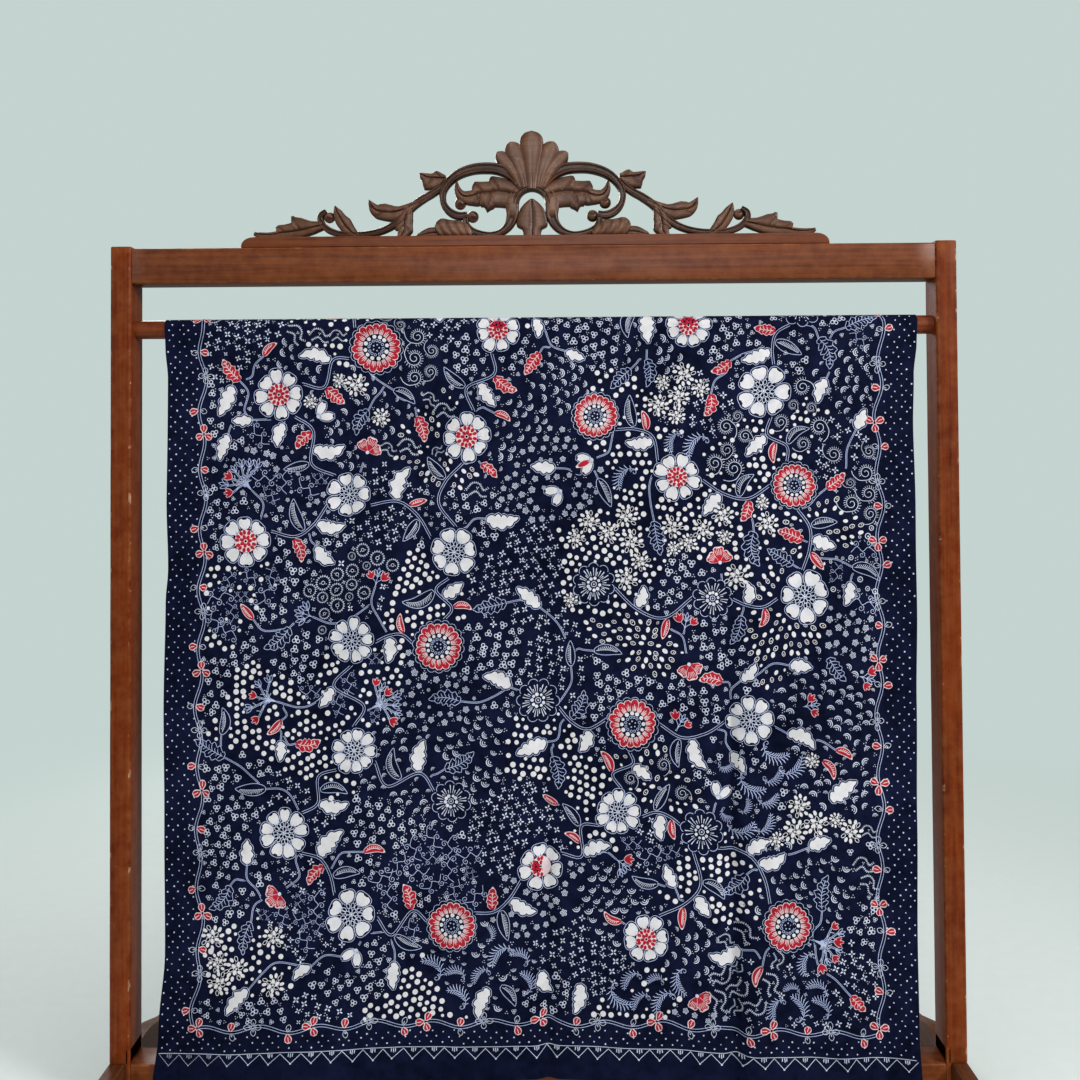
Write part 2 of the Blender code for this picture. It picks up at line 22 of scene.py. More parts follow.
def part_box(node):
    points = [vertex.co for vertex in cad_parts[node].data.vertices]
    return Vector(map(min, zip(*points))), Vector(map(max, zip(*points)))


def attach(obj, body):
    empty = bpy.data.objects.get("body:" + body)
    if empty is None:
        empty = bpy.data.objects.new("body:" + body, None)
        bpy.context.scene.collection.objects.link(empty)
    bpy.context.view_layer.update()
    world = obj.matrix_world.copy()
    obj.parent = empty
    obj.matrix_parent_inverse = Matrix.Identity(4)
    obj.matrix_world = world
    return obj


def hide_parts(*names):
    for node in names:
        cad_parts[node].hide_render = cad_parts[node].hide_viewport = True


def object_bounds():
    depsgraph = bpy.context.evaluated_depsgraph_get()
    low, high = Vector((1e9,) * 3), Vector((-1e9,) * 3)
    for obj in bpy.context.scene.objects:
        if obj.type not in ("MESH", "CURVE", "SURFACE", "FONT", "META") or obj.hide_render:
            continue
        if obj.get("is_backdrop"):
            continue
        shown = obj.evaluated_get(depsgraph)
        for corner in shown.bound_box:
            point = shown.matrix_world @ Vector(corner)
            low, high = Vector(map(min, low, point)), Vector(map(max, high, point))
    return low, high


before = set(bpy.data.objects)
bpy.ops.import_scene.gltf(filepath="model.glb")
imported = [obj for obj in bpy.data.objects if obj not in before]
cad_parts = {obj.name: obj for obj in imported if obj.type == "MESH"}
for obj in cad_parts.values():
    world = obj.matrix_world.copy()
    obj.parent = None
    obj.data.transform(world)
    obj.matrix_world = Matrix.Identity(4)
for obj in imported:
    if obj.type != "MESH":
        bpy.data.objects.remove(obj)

CAD_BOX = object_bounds()
MM = 0.001
TURN = 2 * math.pi
LOG = logging.getLogger("batik")


# Small shared helpers

def rise(t: np.ndarray) -> np.ndarray:
    """A smooth step from 0 to 1."""
    t = np.clip(t, 0.0, 1.0)
    return t * t * (3 - 2 * t)


def read_table(rows: Sequence, at: np.ndarray, column: int = 1) -> np.ndarray:
    """Reads one column of a table between its rows, with a level slope at each row.

    Args:
        rows: the table's rows, each with its place in the first column.
        at: the places to read it at.
        column: the column to read.

    Returns:
        The values, one for each place.
    """
    table = np.array(sorted(rows))
    places, values = table[:, 0], table[:, column]
    i = np.clip(np.searchsorted(places, at) - 1, 0, len(places) - 2)
    t = rise((at - places[i]) / (places[i + 1] - places[i]))
    return values[i] * (1 - t) + values[i + 1] * t


def tube(rings: np.ndarray, caps: int = 2) -> tuple[np.ndarray, list]:
    """Joins rings of points into a solid.

    Args:
        rings: the points of each ring, in metres.
        caps: how many of its ends are closed, the first one first.

    Returns:
        Its points and faces.
    """
    n, m = rings.shape[:2]
    r, s = np.meshgrid(np.arange(n - 1), np.arange(m), indexing="ij")
    a, b = (r * m + s).ravel(), (r * m + (s + 1) % m).ravel()
    ends = [list(range(m)), list(range((n - 1) * m, n * m))]
    return rings.reshape(-1, 3), np.stack([a, b, b + m, a + m], 1).tolist() + ends[:caps]


def join_solids(solids: Sequence[tuple]) -> tuple[np.ndarray, list, np.ndarray]:
    """Joins solids, each given as points, faces and wear, which on the crest also sets its painted shade, into
    one piece.

    Args:
        solids: the solids.

    Returns:
        The points, faces and wear of them all.
    """
    first = np.cumsum([0] + [len(points) for points, _, _ in solids]).tolist()
    faces = [[k + start for k in face] for (_, some, _), start in zip(solids, first) for face in some]
    return np.vstack([solid[0] for solid in solids]), faces, np.concatenate([solid[2] for solid in solids])


def make_piece(name: str, points: np.ndarray, faces: Sequence, finish: bpy.types.Material, slot: str,
               stands_for: Sequence[str] = (), wear_and_shade: np.ndarray | None = None) -> bpy.types.Object:
    """Makes one piece of the object from its points and faces, and seats it in the frame.

    Args:
        name: the piece's name.
        points: its points in metres.
        faces: its faces, as point numbers.
        finish: its material.
        slot: the record's material slot that it belongs to; not used.
        stands_for: the solids that it replaces.
        wear_and_shade: how worn each point is, from 0 to 1; on the carved crest it is the relief height, which
            also sets the painted shade in its hollows.

    Returns:
        The new object.
    """
    mesh = bpy.data.meshes.new(name)
    mesh.from_pydata(np.asarray(points).tolist(), [], [list(map(int, face)) for face in faces])
    mesh.update()
    if wear_and_shade is not None:
        mesh.attributes.new("wear_and_shade", "FLOAT", "POINT").data.foreach_set("value", wear_and_shade.astype(np.float32))
    mesh.materials.append(finish)
    piece = bpy.data.objects.new(name, mesh)
    bpy.context.scene.collection.objects.link(piece)
    if stands_for:
        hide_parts(*stands_for)
    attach(piece, "root")
    LOG.info("%s: %d faces", name, len(mesh.polygons))
    return piece


def shade(piece: bpy.types.Object, sharp: float) -> None:
    """Shades a piece smooth, apart from edges sharper than an angle in degrees."""
    piece.data.shade_smooth()
    piece.data.set_sharp_from_angle(angle=math.radians(sharp))


def face_outwards(piece: bpy.types.Object, sharp: float = 35.0) -> None:
    """Turns a piece's faces outwards and shades it.

    Args:
        piece: the piece.
        sharp: the angle in degrees from which an edge is sharp.
    """
    shape = bmesh.new()
    shape.from_mesh(piece.data)
    bmesh.ops.recalc_face_normals(shape, faces=shape.faces)
    shape.to_mesh(piece.data)
    shape.free()
    shade(piece, sharp)


# Finishes

EVEN = (1.0, 1.0, 1.0)
BLACK = (0, 0, 0)
WHITE = (1, 1, 1)


@dataclass
class NodeBench:
    """Builds one material's nodes."""

    name: str
    tree: bpy.types.NodeTree = field(init=False)
    shader: bpy.types.Node = field(init=False)
    material: bpy.types.Material = field(init=False)

    def __post_init__(self) -> None:
        """Makes the material with its Principled shader."""
        self.material = bpy.data.materials.new(self.name)
        self.material.use_nodes = True
        self.tree = self.material.node_tree
        self.shader = self.tree.nodes["Principled BSDF"]

    def add(self, kind: str, inputs: dict | None = None, **settings) -> bpy.types.Node:
        """Adds a node.

        Args:
            kind: its type.
            inputs: for each of its sockets, by name or number, another node's socket or a plain value.
            settings: its other settings.

        Returns:
            The node.
        """
        node = self.tree.nodes.new(kind)
        for key, value in settings.items():
            setattr(node, key, value)
        for key, value in (inputs or {}).items():
            if isinstance(value, bpy.types.NodeSocket):
                self.tree.links.new(value, node.inputs[key])
            else:
                node.inputs[key].default_value = value
        return node

    def place(self, scale: Sequence[float] = EVEN) -> bpy.types.NodeSocket:
        """Gives the object's own coordinates in metres, scaled along each axis."""
        where = self.add("ShaderNodeTexCoord").outputs["Object"]
        return self.add("ShaderNodeMapping", {"Vector": where, "Scale": scale}).outputs["Vector"]

    def noise(self, size: float, detail: float, rough: float,
              scale: Sequence[float] = EVEN) -> bpy.types.NodeSocket:
        """Gives a noise value in stretched coordinates."""
        inputs = {"Scale": size, "Detail": detail, "Roughness": rough, "Vector": self.place(scale)}
        return self.add("ShaderNodeTexNoise", inputs).outputs["Fac"]

    def ramp(self, value: bpy.types.NodeSocket, *stops: tuple) -> bpy.types.NodeSocket:
        """Turns a value into colours.

        Args:
            value: the socket to read.
            stops: pairs of a position and a colour.

        Returns:
            The colour socket.
        """
        node = self.add("ShaderNodeValToRGB", {"Fac": value})
        colors = node.color_ramp.elements
        while len(colors) < len(stops):
            colors.new(0.5)
        for element, (position, color) in zip(colors, stops):
            element.position = position
            element.color = (*color, 1.0)
        return node.outputs["Color"]

    def mix(self, share: float | bpy.types.NodeSocket, first: tuple | bpy.types.NodeSocket,
            second: tuple | bpy.types.NodeSocket, blend: str = "MIX") -> bpy.types.NodeSocket:
        """Mixes two colours.

        Args:
            share: how much of the second one, as a number or a socket.
            first: a plain colour or a socket.
            second: a plain colour or a socket.
            blend: the way to mix them.

        Returns:
            The colour socket.
        """
        inputs = {0: share, 6: first, 7: second}
        inputs = {key: (*value, 1.0) if isinstance(value, tuple) else value for key, value in inputs.items()}
        return self.add("ShaderNodeMix", inputs, data_type="RGBA", blend_type=blend).outputs[2]

    def scaled(self, value: bpy.types.NodeSocket, low: float, high: float) -> bpy.types.NodeSocket:
        """Maps a value from 0 to 1 onto a range."""
        return self.add("ShaderNodeMapRange",
                        {"Value": value, "To Min": low, "To Max": high}).outputs["Result"]

    def bump(self, height: bpy.types.NodeSocket, strength: float, distance: float) -> None:
        """Raises the surface a little by a height."""
        node = self.add("ShaderNodeBump", {"Strength": strength, "Distance": distance, "Height": height})
        self.feed(Normal=node.outputs["Normal"])

    def feed(self, **sockets: bpy.types.NodeSocket) -> None:
        """Links sockets to the shader's own sockets, with _ for a space in a socket's name."""
        for key, value in sockets.items():
            self.tree.links.new(value, self.shader.inputs[key.replace("_", " ")])

    def set(self, **values: float) -> None:
        """Sets plain values on the shader's own sockets, with _ for a space in a socket's name."""
        for key, value in values.items():
            self.shader.inputs[key.replace("_", " ")].default_value = value


class Grain(Enum):
    """Which way a piece of wood was sawn: the axis that its grain runs along."""

    ALONG_X = (1.0, 34.0, 34.0)
    ALONG_Y = (34.0, 1.0, 34.0)
    ALONG_Z = (34.0, 34.0, 1.0)


@dataclass(frozen=True)
class VarnishedWood:
    """Satin varnish over hardwood, with long grain, fine pores and paler worn edges."""

    name: str
    grain: Grain
    pale: tuple = (0.190, 0.0300, 0.0028)
    middle: tuple = (0.134, 0.0185, 0.0020)
    dark: tuple = (0.062, 0.0085, 0.0012)
    worn: tuple = (0.310, 0.105, 0.032)
    chip: tuple = (0.520, 0.330, 0.200)
    roughness: float = 0.40
    gloss: float = 0.10

    def material(self) -> bpy.types.Material:
        """Builds the material.

        Returns:
            The material.
        """
        bench = NodeBench(self.name)
        grain = bench.noise(5.2, 8.0, 0.66, self.grain.value)
        wood = bench.ramp(grain, (0.28, self.dark), (0.44, self.middle), (0.60, self.pale),
                          (0.78, self.middle))
        pores = bench.noise(22.0, 3.0, 0.7, tuple(v * 2.2 if v > 1 else 2.4 for v in self.grain.value))
        pore_dark = bench.scaled(bench.ramp(pores, (0.30, WHITE), (0.43, BLACK)), 0.0, 0.6)
        wood = bench.mix(pore_dark, wood, self.dark)
        clouds = bench.ramp(bench.noise(5.0, 3.0, 0.5), (0.3, (0.62, 0.60, 0.60)), (0.7, WHITE))
        wood = bench.mix(0.5, wood, clouds, "MULTIPLY")
        wear_and_shade = bench.add("ShaderNodeAttribute", attribute_name="wear_and_shade").outputs["Fac"]
        nicks = bench.scaled(bench.noise(60.0, 4.0, 0.65), -0.7, 1.2)
        wood = bench.mix(bench.scaled(bench.mix(0.75, nicks, wear_and_shade, "MULTIPLY"), 0.0, 0.8), wood, self.worn)
        chips = bench.ramp(bench.noise(45.0, 3.0, 0.6), (0.60, BLACK), (0.66, WHITE))
        edges = bench.ramp(wear_and_shade, (0.70, BLACK), (0.95, WHITE))
        wood = bench.mix(bench.scaled(bench.mix(1.0, chips, edges, "MULTIPLY"), 0.0, 0.6), wood, self.chip)
        polish = bench.scaled(pores, self.roughness + 0.14, self.roughness - 0.04)
        bench.feed(Base_Color=wood, Roughness=polish)
        bench.set(Specular_IOR_Level=self.gloss)
        bench.bump(grain, 0.12, 0.0006)
        return bench.material


@dataclass(frozen=True)
class CarvedWood:
    """Dark varnish over carving: nearly black in the hollows, partly varnish pooled there and partly painted
    shade, and brown where hands have rubbed it.
    """

    name: str
    # hollow: the colour of the low places, pooled varnish together with painted shade
    hollow: tuple = (0.0080, 0.0024, 0.0009)
    body: tuple = (0.070, 0.0235, 0.0105)
    rubbed: tuple = (0.190, 0.086, 0.046)
    fleck: tuple = (0.300, 0.190, 0.130)
    roughness: float = 0.30
    gloss: float = 0.26

    def material(self) -> bpy.types.Material:
        """Builds the material.

        Returns:
            The material.
        """
        bench = NodeBench(self.name)
        # The carving's relief height: low in the hollows, high on the ridges.
        height = bench.add("ShaderNodeAttribute", attribute_name="wear_and_shade").outputs["Fac"]
        patches = bench.noise(38.0, 5.0, 0.6)
        mixed = bench.mix(0.42, height, patches)
        # Painted shade with pooled varnish in the hollows, the varnish's brown between, rubbed wear on the
        # ridges.
        wood = bench.ramp(mixed, (0.26, self.hollow), (0.52, self.body), (0.78, self.rubbed))
        grain = bench.noise(9.0, 6.0, 0.6, Grain.ALONG_X.value)
        wood = bench.mix(0.6, wood, bench.ramp(grain, (0.35, (0.58, 0.54, 0.54)), (0.62, WHITE)), "MULTIPLY")
        clouds = bench.noise(16.0, 4.0, 0.6)
        wood = bench.mix(0.75, wood, bench.ramp(clouds, (0.34, (0.52, 0.48, 0.46)), (0.66, WHITE)),
                         "MULTIPLY")
        flecks = bench.ramp(bench.noise(170.0, 4.0, 0.7), (0.60, BLACK), (0.70, WHITE))
        wood = bench.mix(bench.scaled(bench.mix(1.0, flecks, height, "MULTIPLY"), 0.0, 0.55), wood,
                         self.fleck)
        polish = bench.scaled(patches, self.roughness + 0.16, self.roughness - 0.06)
        bench.feed(Base_Color=wood, Roughness=polish)
        bench.set(Specular_IOR_Level=self.gloss)
        bench.bump(patches, 0.25, 0.0008)
        return bench.material


@dataclass(frozen=True)
class BrownedSteel:
    """The dull, browned head of a bolt."""

    name: str = "browned_steel"
    brown: tuple = (0.06, 0.035, 0.02)
    bare: tuple = (0.22, 0.17, 0.12)

    def material(self) -> bpy.types.Material:
        """Builds the material.

        Returns:
            The material.
        """
        bench = NodeBench(self.name)
        stain = bench.noise(600.0, 4.0, 0.6)
        metal = bench.ramp(stain, (0.35, self.brown), (0.65, self.bare))
        bench.feed(Base_Color=metal, Roughness=bench.scaled(stain, 0.35, 0.6))
        bench.set(Metallic=0.8)
        return bench.material


@dataclass(frozen=True)
class DyedCotton:
    """Matt cotton in one dye, mottled a little where the wax cracked, with a fine plain weave."""

    name: str
    deep: tuple
    thin: tuple
    mottle: float = 55.0
    gloss: float = 0.05
    roughness: float = 0.80

    def material(self) -> bpy.types.Material:
        """Builds the material.

        Returns:
            The material.
        """
        bench = NodeBench(self.name)
        mottling = bench.mix(0.62, bench.noise(9.0, 3.0, 0.5), bench.noise(self.mottle, 5.0, 0.62))
        dye = bench.ramp(mottling, (0.36, self.deep), (0.62, self.thin))
        weave = bench.noise(1500.0, 1.0, 0.4)
        threads = bench.ramp(weave, (0.3, (0.86, 0.86, 0.86)), (0.7, (1.1, 1.1, 1.1)))
        bench.feed(Base_Color=bench.mix(0.6, dye, threads, "MULTIPLY"))
        bench.set(Roughness=self.roughness, Specular_IOR_Level=self.gloss)
        bench.bump(weave, 0.18, 0.0003)
        return bench.material


# The hanging cloth, in metres

# The side edges: a height, and the X of the left and of the right edge there
SIDE_EDGES = (
    (1.083, -0.5140, 0.5340), (1.045, -0.5120, 0.5320), (0.998, -0.5080, 0.5270), (0.925, -0.5080, 0.5247),
    (0.830, -0.5086, 0.5258), (0.735, -0.5058, 0.5250), (0.690, -0.5090, 0.5248), (0.550, -0.5112, 0.5213),
    (0.390, -0.5092, 0.5185), (0.215, -0.5075, 0.5163), (0.108, -0.5160, 0.5165), (0.020, -0.5250, 0.5205),
)
# The hems: an X and the hem's height there
FRONT_HEM = (
    (-0.530, 0.0320), (-0.360, 0.0365), (-0.130, 0.0450), (0.020, 0.0462), (0.160, 0.0437), (0.262, 0.0340),
    (0.360, 0.0338), (0.440, 0.0300), (0.540, 0.0235),
)
BACK_HEM = ((-0.540, 0.0300), (-0.300, 0.0390), (0.000, 0.0440), (0.300, 0.0400), (0.540, 0.0330))
# The waves: an X and how far the cloth bows away from the rack at its hem
FRONT_WAVES = (
    (-0.530, 0.0030), (-0.390, 0.0110), (-0.250, 0.0075), (-0.200, 0.0085), (-0.150, 0.0080),
    (-0.070, 0.0120),
    (0.016, 0.0090), (0.140, 0.0130), (0.262, 0.0085), (0.300, 0.0180), (0.390, 0.0165), (0.475, 0.0085),
    (0.530, 0.0110),
)
BACK_WAVES = (
    (-0.530, 0.0050), (-0.410, 0.0130), (-0.290, 0.0080), (-0.150, 0.0140), (0.030, 0.0090), (0.170, 0.0135),
    (0.310, 0.0080), (0.430, 0.0120), (0.530, 0.0040),
)


@dataclass(frozen=True)
class Crease:
    """A long soft trough. start, full and end are the heights where it begins, is deepest and has gone."""

    x_top: float
    x_hem: float
    depth: float
    left: float
    right: float
    start: float
    full: float
    end: float

    def depth_at(self, x: np.ndarray, height: np.ndarray, down: np.ndarray) -> np.ndarray:
        """How far the crease draws the cloth back towards the rack.

        Args:
            x: where, across the rack.
            height: where, over the floor.
            down: where, as a share of the way down from the rod.

        Returns:
            The distance at each place.
        """
        fading_in = rise((self.start - height) / (self.start - self.full))
        fading_out = rise((height - self.end) / (self.full - self.end))
        strength = np.where(height > self.full, fading_in, fading_out)
        aside = x - (self.x_top + (self.x_hem - self.x_top) * down)
        width = np.where(aside < 0, self.left, self.right)
        return self.depth * strength * np.exp(-((aside / width) ** 2))


FRONT_CREASES = (
    Crease(-0.266, -0.236, 0.0050, 0.010, 0.013, 1.040, 0.850, 0.560),
    Crease(-0.156, -0.158, 0.0045, 0.012, 0.014, 1.000, 0.820, 0.600),
    Crease(0.013, 0.016, 0.0070, 0.011, 0.009, 0.900, 0.150, -0.500),
    Crease(0.262, 0.274, 0.0085, 0.013, 0.0065, 0.980, 0.250, -0.500),
    Crease(0.470, 0.480, 0.0040, 0.016, 0.020, 0.900, 0.650, 0.350),
)
BACK_CREASES = (
    Crease(-0.300, -0.285, 0.0070, 0.009, 0.014, 0.950, 0.250, -0.500),
    Crease(0.028, 0.032, 0.0065, 0.013, 0.009, 0.900, 0.200, -0.500),
    Crease(0.330, 0.305, 0.0060, 0.014, 0.010, 1.000, 0.400, -0.300),
)


@dataclass
class HangingCloth:
    """The sarong: one rectangle of cotton, folded in half over the rod."""

    width: float = 1.05
    length: float = 2.10
    wall: float = 0.0007
    inset: float = 0.0002
    rod_height: float = 1.069
    radius: float = 0.0139
    rail_plane: float = 0.0240
    column_step: float = 0.009
    crease_step: float = 0.0033
    crease_reach: float = 0.022
    row_step: float = 0.011
    rod_rows: int = 12
    ripple: float = 0.0011
    columns: np.ndarray = field(init=False)
    rows: np.ndarray = field(init=False)
    face: np.ndarray = field(init=False)
    normal: np.ndarray = field(init=False)
    middle: np.ndarray = field(init=False)

    def __post_init__(self) -> None:
        """Works out the grid of the cloth, with the outward direction of each point."""
        self.columns = self._column_places()
        self.rows = self._row_places()
        self.middle = self.hang(*np.meshgrid(self.columns, self.rows))
        normal = np.cross(np.gradient(self.middle, axis=1), np.gradient(self.middle, axis=0))
        self.normal = normal / np.linalg.norm(normal, axis=-1, keepdims=True)
        self.face = self.middle + self.normal * (self.wall / 2 - self.inset)

    def _column_places(self) -> np.ndarray:
        """Finds places across the cloth: close together at the creases, wider between them.

        Returns:
            The places, in metres from the left edge.
        """
        places = [*np.arange(0.0, self.width, self.column_step), self.width]
        for crease in FRONT_CREASES + BACK_CREASES:
            centre = (crease.x_top + crease.x_hem) / 2 - SIDE_EDGES[0][1]
            places += list(np.arange(centre - self.crease_reach, centre + self.crease_reach,
                                     self.crease_step))
        kept = []
        for place in sorted(places):
            if not kept or place - kept[-1] > self.crease_step * 0.8:
                kept.append(place)
        return np.array([*kept[:-1], self.width])

    def _row_places(self) -> np.ndarray:
        """Finds places along the cloth: close together over the rod.

        Returns:
            The places, in metres from the front hem.
        """
        half, arc = self.length / 2, self.radius * math.pi / 2
        drop = np.linspace(0.0, half - arc, int((half - arc) / self.row_step) + 1)
        over = np.linspace(half - arc, half + arc, 2 * self.rod_rows + 1)
        return np.concatenate([drop[:-1], over, self.length - drop[:-1][::-1]])

    def hang(self, across: np.ndarray, along: np.ndarray) -> np.ndarray:
        """Places points of the flat cloth on the middle of the hanging cloth.

        Args:
            across: metres from the left edge.
            along: metres from the front hem, over the rod, to the back hem.

        Returns:
            The points in the frame, with X, Y and Z last.
        """
        share = across / self.width
        reach = along - self.length / 2
        front = reach <= 0
        arc = self.radius * math.pi / 2
        angle = np.clip(np.abs(reach) / arc, 0.0, 1.0) * math.pi / 2
        down = np.clip((np.abs(reach) - arc) / (self.length / 2 - arc), 0.0, 1.0)
        low_x = self._spread(share, np.full_like(share, 0.03))
        hem = np.where(front, read_table(FRONT_HEM, low_x), read_table(BACK_HEM, low_x))
        over_rod = self.rod_height + self.radius * np.cos(angle)
        height = np.where(down > 0, self.rod_height - down * (self.rod_height - hem), over_rod)
        x = self._spread(share, height)
        lean = (self.rail_plane - self.radius) * np.minimum(1.0, down / 0.97)
        bow = np.where(front, read_table(FRONT_WAVES, x),
                       read_table(BACK_WAVES, x)) * rise(down * 1.05) ** 0.8
        lower = (self.rod_height - height) / self.rod_height
        drawn = np.where(front, *(
            sum(crease.depth_at(x, height, lower) for crease in creases)
            for creases in (FRONT_CREASES, BACK_CREASES)
        ))
        out = np.where(down > 0, self.radius + lean + bow - drawn, self.radius * np.sin(angle))
        out = out + self._ripples(x, height) * rise(down * 4)
        return np.stack([x, np.where(front, -out, out), height], axis=-1)

    def _spread(self, share: np.ndarray, height: np.ndarray) -> np.ndarray:
        """X of a share of the width at a height."""
        left, right = (read_table(SIDE_EDGES, height, column) for column in (1, 2))
        return left + (right - left) * share

    def _ripples(self, x: np.ndarray, height: np.ndarray) -> np.ndarray:
        """Gives small uneven ripples, which only ever lift the cloth off the rack.

        Args:
            x: where, across the rack.
            height: where, over the floor.

        Returns:
            How far they lift each place.
        """
        slow = np.sin(TURN * (x * 7.3 + 0.22 * np.sin(height * 6.1)) + 1.3)
        quick = np.sin(TURN * (x * 17.7 - 0.35 * height + 0.3 * np.sin(height * 9.7 + x * 5)))
        crossways = np.sin(TURN * (height * 4.1 + x * 2.3)) * np.sin(TURN * x * 3.1 + 0.4)
        return self.ripple * (1.0 + 0.45 * slow + 0.25 * quick + 0.3 * crossways)

    def lay(self, flat: np.ndarray, lift: np.ndarray) -> tuple[np.ndarray, np.ndarray]:
        """Lays points of the flat drawing on the cloth's outer face.

        Args:
            flat: points in millimetres, across and along.
            lift: metres that each point lies off the face.

        Returns:
            The points in the frame, and their outward directions.
        """
        cell, part = [], []
        for places, at in ((self.columns, flat[:, 0]), (self.rows, flat[:, 1])):
            at = np.clip(at * MM, 0.0, places[-1])
            k = np.clip(np.searchsorted(places, at) - 1, 0, len(places) - 2)
            cell.append(k)
            part.append(((at - places[k]) / (places[k + 1] - places[k]))[:, None])
        (i, j), (s, t) = cell, part
        a, b, c, d = (self.face[j + down, i + right] for down, right in ((0, 0), (0, 1), (1, 1), (1, 0)))
        place = np.where(s >= t, a + s * (b - a) + t * (c - b), a + t * (d - a) + s * (c - d))
        n = self.normal
        out = n[j, i] * (1 - s) * (1 - t) + n[j, i + 1] * s * (1 - t)
        out = out + n[j + 1, i + 1] * s * t + n[j + 1, i] * (1 - s) * t
        out /= np.linalg.norm(out, axis=1, keepdims=True)
        return place + out * lift[:, None], out

    def build(self, finish: bpy.types.Material) -> bpy.types.Object:
        """Builds the cloth as a closed thin shell.

        Args:
            finish: the cotton's material.

        Returns:
            The cloth.
        """
        tall, wide = self.face.shape[:2]
        count = tall * wide
        back = self.middle - self.normal * (self.wall / 2 + self.inset)
        number = np.arange(count).reshape(tall, wide)
        a, b, c, d = (part.ravel() for part in (number[:-1, :-1], number[:-1, 1:], number[1:, 1:],
                                                number[1:, :-1]))
        faces = np.concatenate([
            np.stack([a, b, c], 1), np.stack([a, c, d], 1),
            count + np.stack([a, c, b], 1), count + np.stack([a, d, c], 1),
        ]).tolist()
        rim = [*number[0], *number[1:, -1], *number[-1, -2::-1], *number[-2:0:-1, 0]]
        for p, q in zip(rim, rim[1:] + rim[:1]):
            faces += [(p, count + p, count + q), (p, count + q, q)]
        points = np.concatenate([self.face.reshape(-1, 3), back.reshape(-1, 3)])
        cloth = make_piece("batik_cloth", points, faces, finish, "batik_cotton",
                           ("sarong_front", "sarong_back"))
        shade(cloth, 60)
        return cloth


# The drawing: shapes on the flat cloth, in millimetres

class Ink(Enum):
    """What a drawn shape is: bare cotton under wax, or one of the dyes."""

    CREAM = "cream_wax"
    FINE = "fine_wax_strokes"
    MARKS = "ground_marks"
    BLUE = "pale_blue_lines"
    RED = "red_dye"
    PINK = "rosy_wax"
    NAVY = "navy_touches"


class Lift(Enum):
    """How far a layer of the drawing lies off the cloth, in metres."""

    UNDER = 0.00014
    FILL = 0.00024
    OVER = 0.00034
    TOP = 0.00044
    CROWN = 0.00054


def smooth(points: Sequence, step: float = 3.0) -> np.ndarray:
    """Runs a smooth curve through points.

    Args:
        points: places on the flat cloth.
        step: the longest distance between points of the curve.

    Returns:
        The curve's points.
    """
    p = [np.asarray(q, float) for q in points]
    padded = [2 * p[0] - p[1], *p, 2 * p[-1] - p[-2]]
    found = []
    for p0, p1, p2, p3 in zip(padded, padded[1:], padded[2:], padded[3:]):
        count = max(1, math.ceil(np.linalg.norm(p2 - p1) / step))
        t = np.arange(count)[:, None] / count
        found.append(0.5 * (2 * p1 + (p2 - p0) * t + (2 * p0 - 5 * p1 + 4 * p2 - p3) * t**2
                            + (3 * p1 - 3 * p2 + p3 - p0) * t**3))
    return np.vstack([*found, p[-1][None, :]])


def round_path(centre: Sequence, radius: float, start: float = 0.0, sweep: float = TURN,
               sides: int = 12) -> np.ndarray:
    """Points on a circle or an arc. A whole circle doesn't repeat its first point.

    Args:
        centre: its middle.
        radius: its radius.
        start: the angle of its first point.
        sweep: the angle that it runs through.
        sides: how many steps it has.

    Returns:
        The points.
    """
    steps = np.arange(sides) / sides if sweep >= TURN else np.linspace(0, 1, sides + 1)
    angle = start + sweep * steps
    return np.asarray(centre, float) + radius * np.stack([np.cos(angle), np.sin(angle)], 1)


def aim(angle: float) -> np.ndarray:
    """The direction of an angle on the flat cloth."""
    return np.array([math.cos(angle), math.sin(angle)])


def ray(at: np.ndarray, angle: float, near: float, far: float, count: int = 3) -> np.ndarray:
    """Evenly spaced points along a direction, from one distance to another."""
    return at + np.outer(np.linspace(near, far, count), aim(angle))


def spin(angle: float) -> np.ndarray:
    """The matrix that turns rows of points by an angle."""
    return np.array([aim(angle), aim(angle + TURN / 4)])


def sideways(path: np.ndarray, closed: bool = False) -> np.ndarray:
    """Directions to the left of a path.

    Args:
        path: its points.
        closed: whether it comes back to its start.

    Returns:
        A direction for each point.
    """
    ahead = np.roll(path, -1, 0) - np.roll(path, 1, 0) if closed else np.gradient(path, axis=0)
    left = np.stack([-ahead[:, 1], ahead[:, 0]], 1)
    return left / np.maximum(1e-9, np.linalg.norm(left, axis=1, keepdims=True))


def quads(rows: int, strands: int, closed: bool = False) -> np.ndarray:
    """Triangles of a grid of points, numbered row by row.

    Args:
        rows: how many rows of points it has.
        strands: how many strips lie between the points of a row.
        closed: whether the last row joins the first.

    Returns:
        The triangles, as point numbers.
    """
    r, s = np.meshgrid(np.arange(rows if closed else rows - 1), np.arange(strands), indexing="ij")
    a = (r * (strands + 1) + s).ravel()
    d = (((r + 1) % rows) * (strands + 1) + s).ravel()
    return np.concatenate([np.stack([a, a + 1, d + 1], 1), np.stack([a, d + 1, d], 1)])


def join_parts(parts: Sequence[tuple]) -> tuple:
    """Joins parts into one shape.

    Args:
        parts: for each part its points, its faces, and any other arrays with a value for each point.

    Returns:
        The same arrays for the whole.
    """
    first = np.cumsum([0] + [len(part[0]) for part in parts])
    faces = np.vstack([part[1] + start for part, start in zip(parts, first)])
    rest = (np.concatenate(column) for column in list(zip(*parts))[2:])
    return np.vstack([part[0] for part in parts]), faces, *rest


def band(path: np.ndarray, width: float | Sequence, closed: bool = False) -> tuple[np.ndarray, np.ndarray]:
    """A line along a path.

    Args:
        path: its points.
        width: its width, or one for each point.
        closed: whether it comes back to its start.

    Returns:
        Its points and triangles.
    """
    half = (np.broadcast_to(np.asarray(width, float), (len(path),)) / 2)[:, None]
    left = sideways(path, closed)
    return np.stack([path - left * half, path + left * half], 1).reshape(-1, 2), quads(len(path), 1, closed)


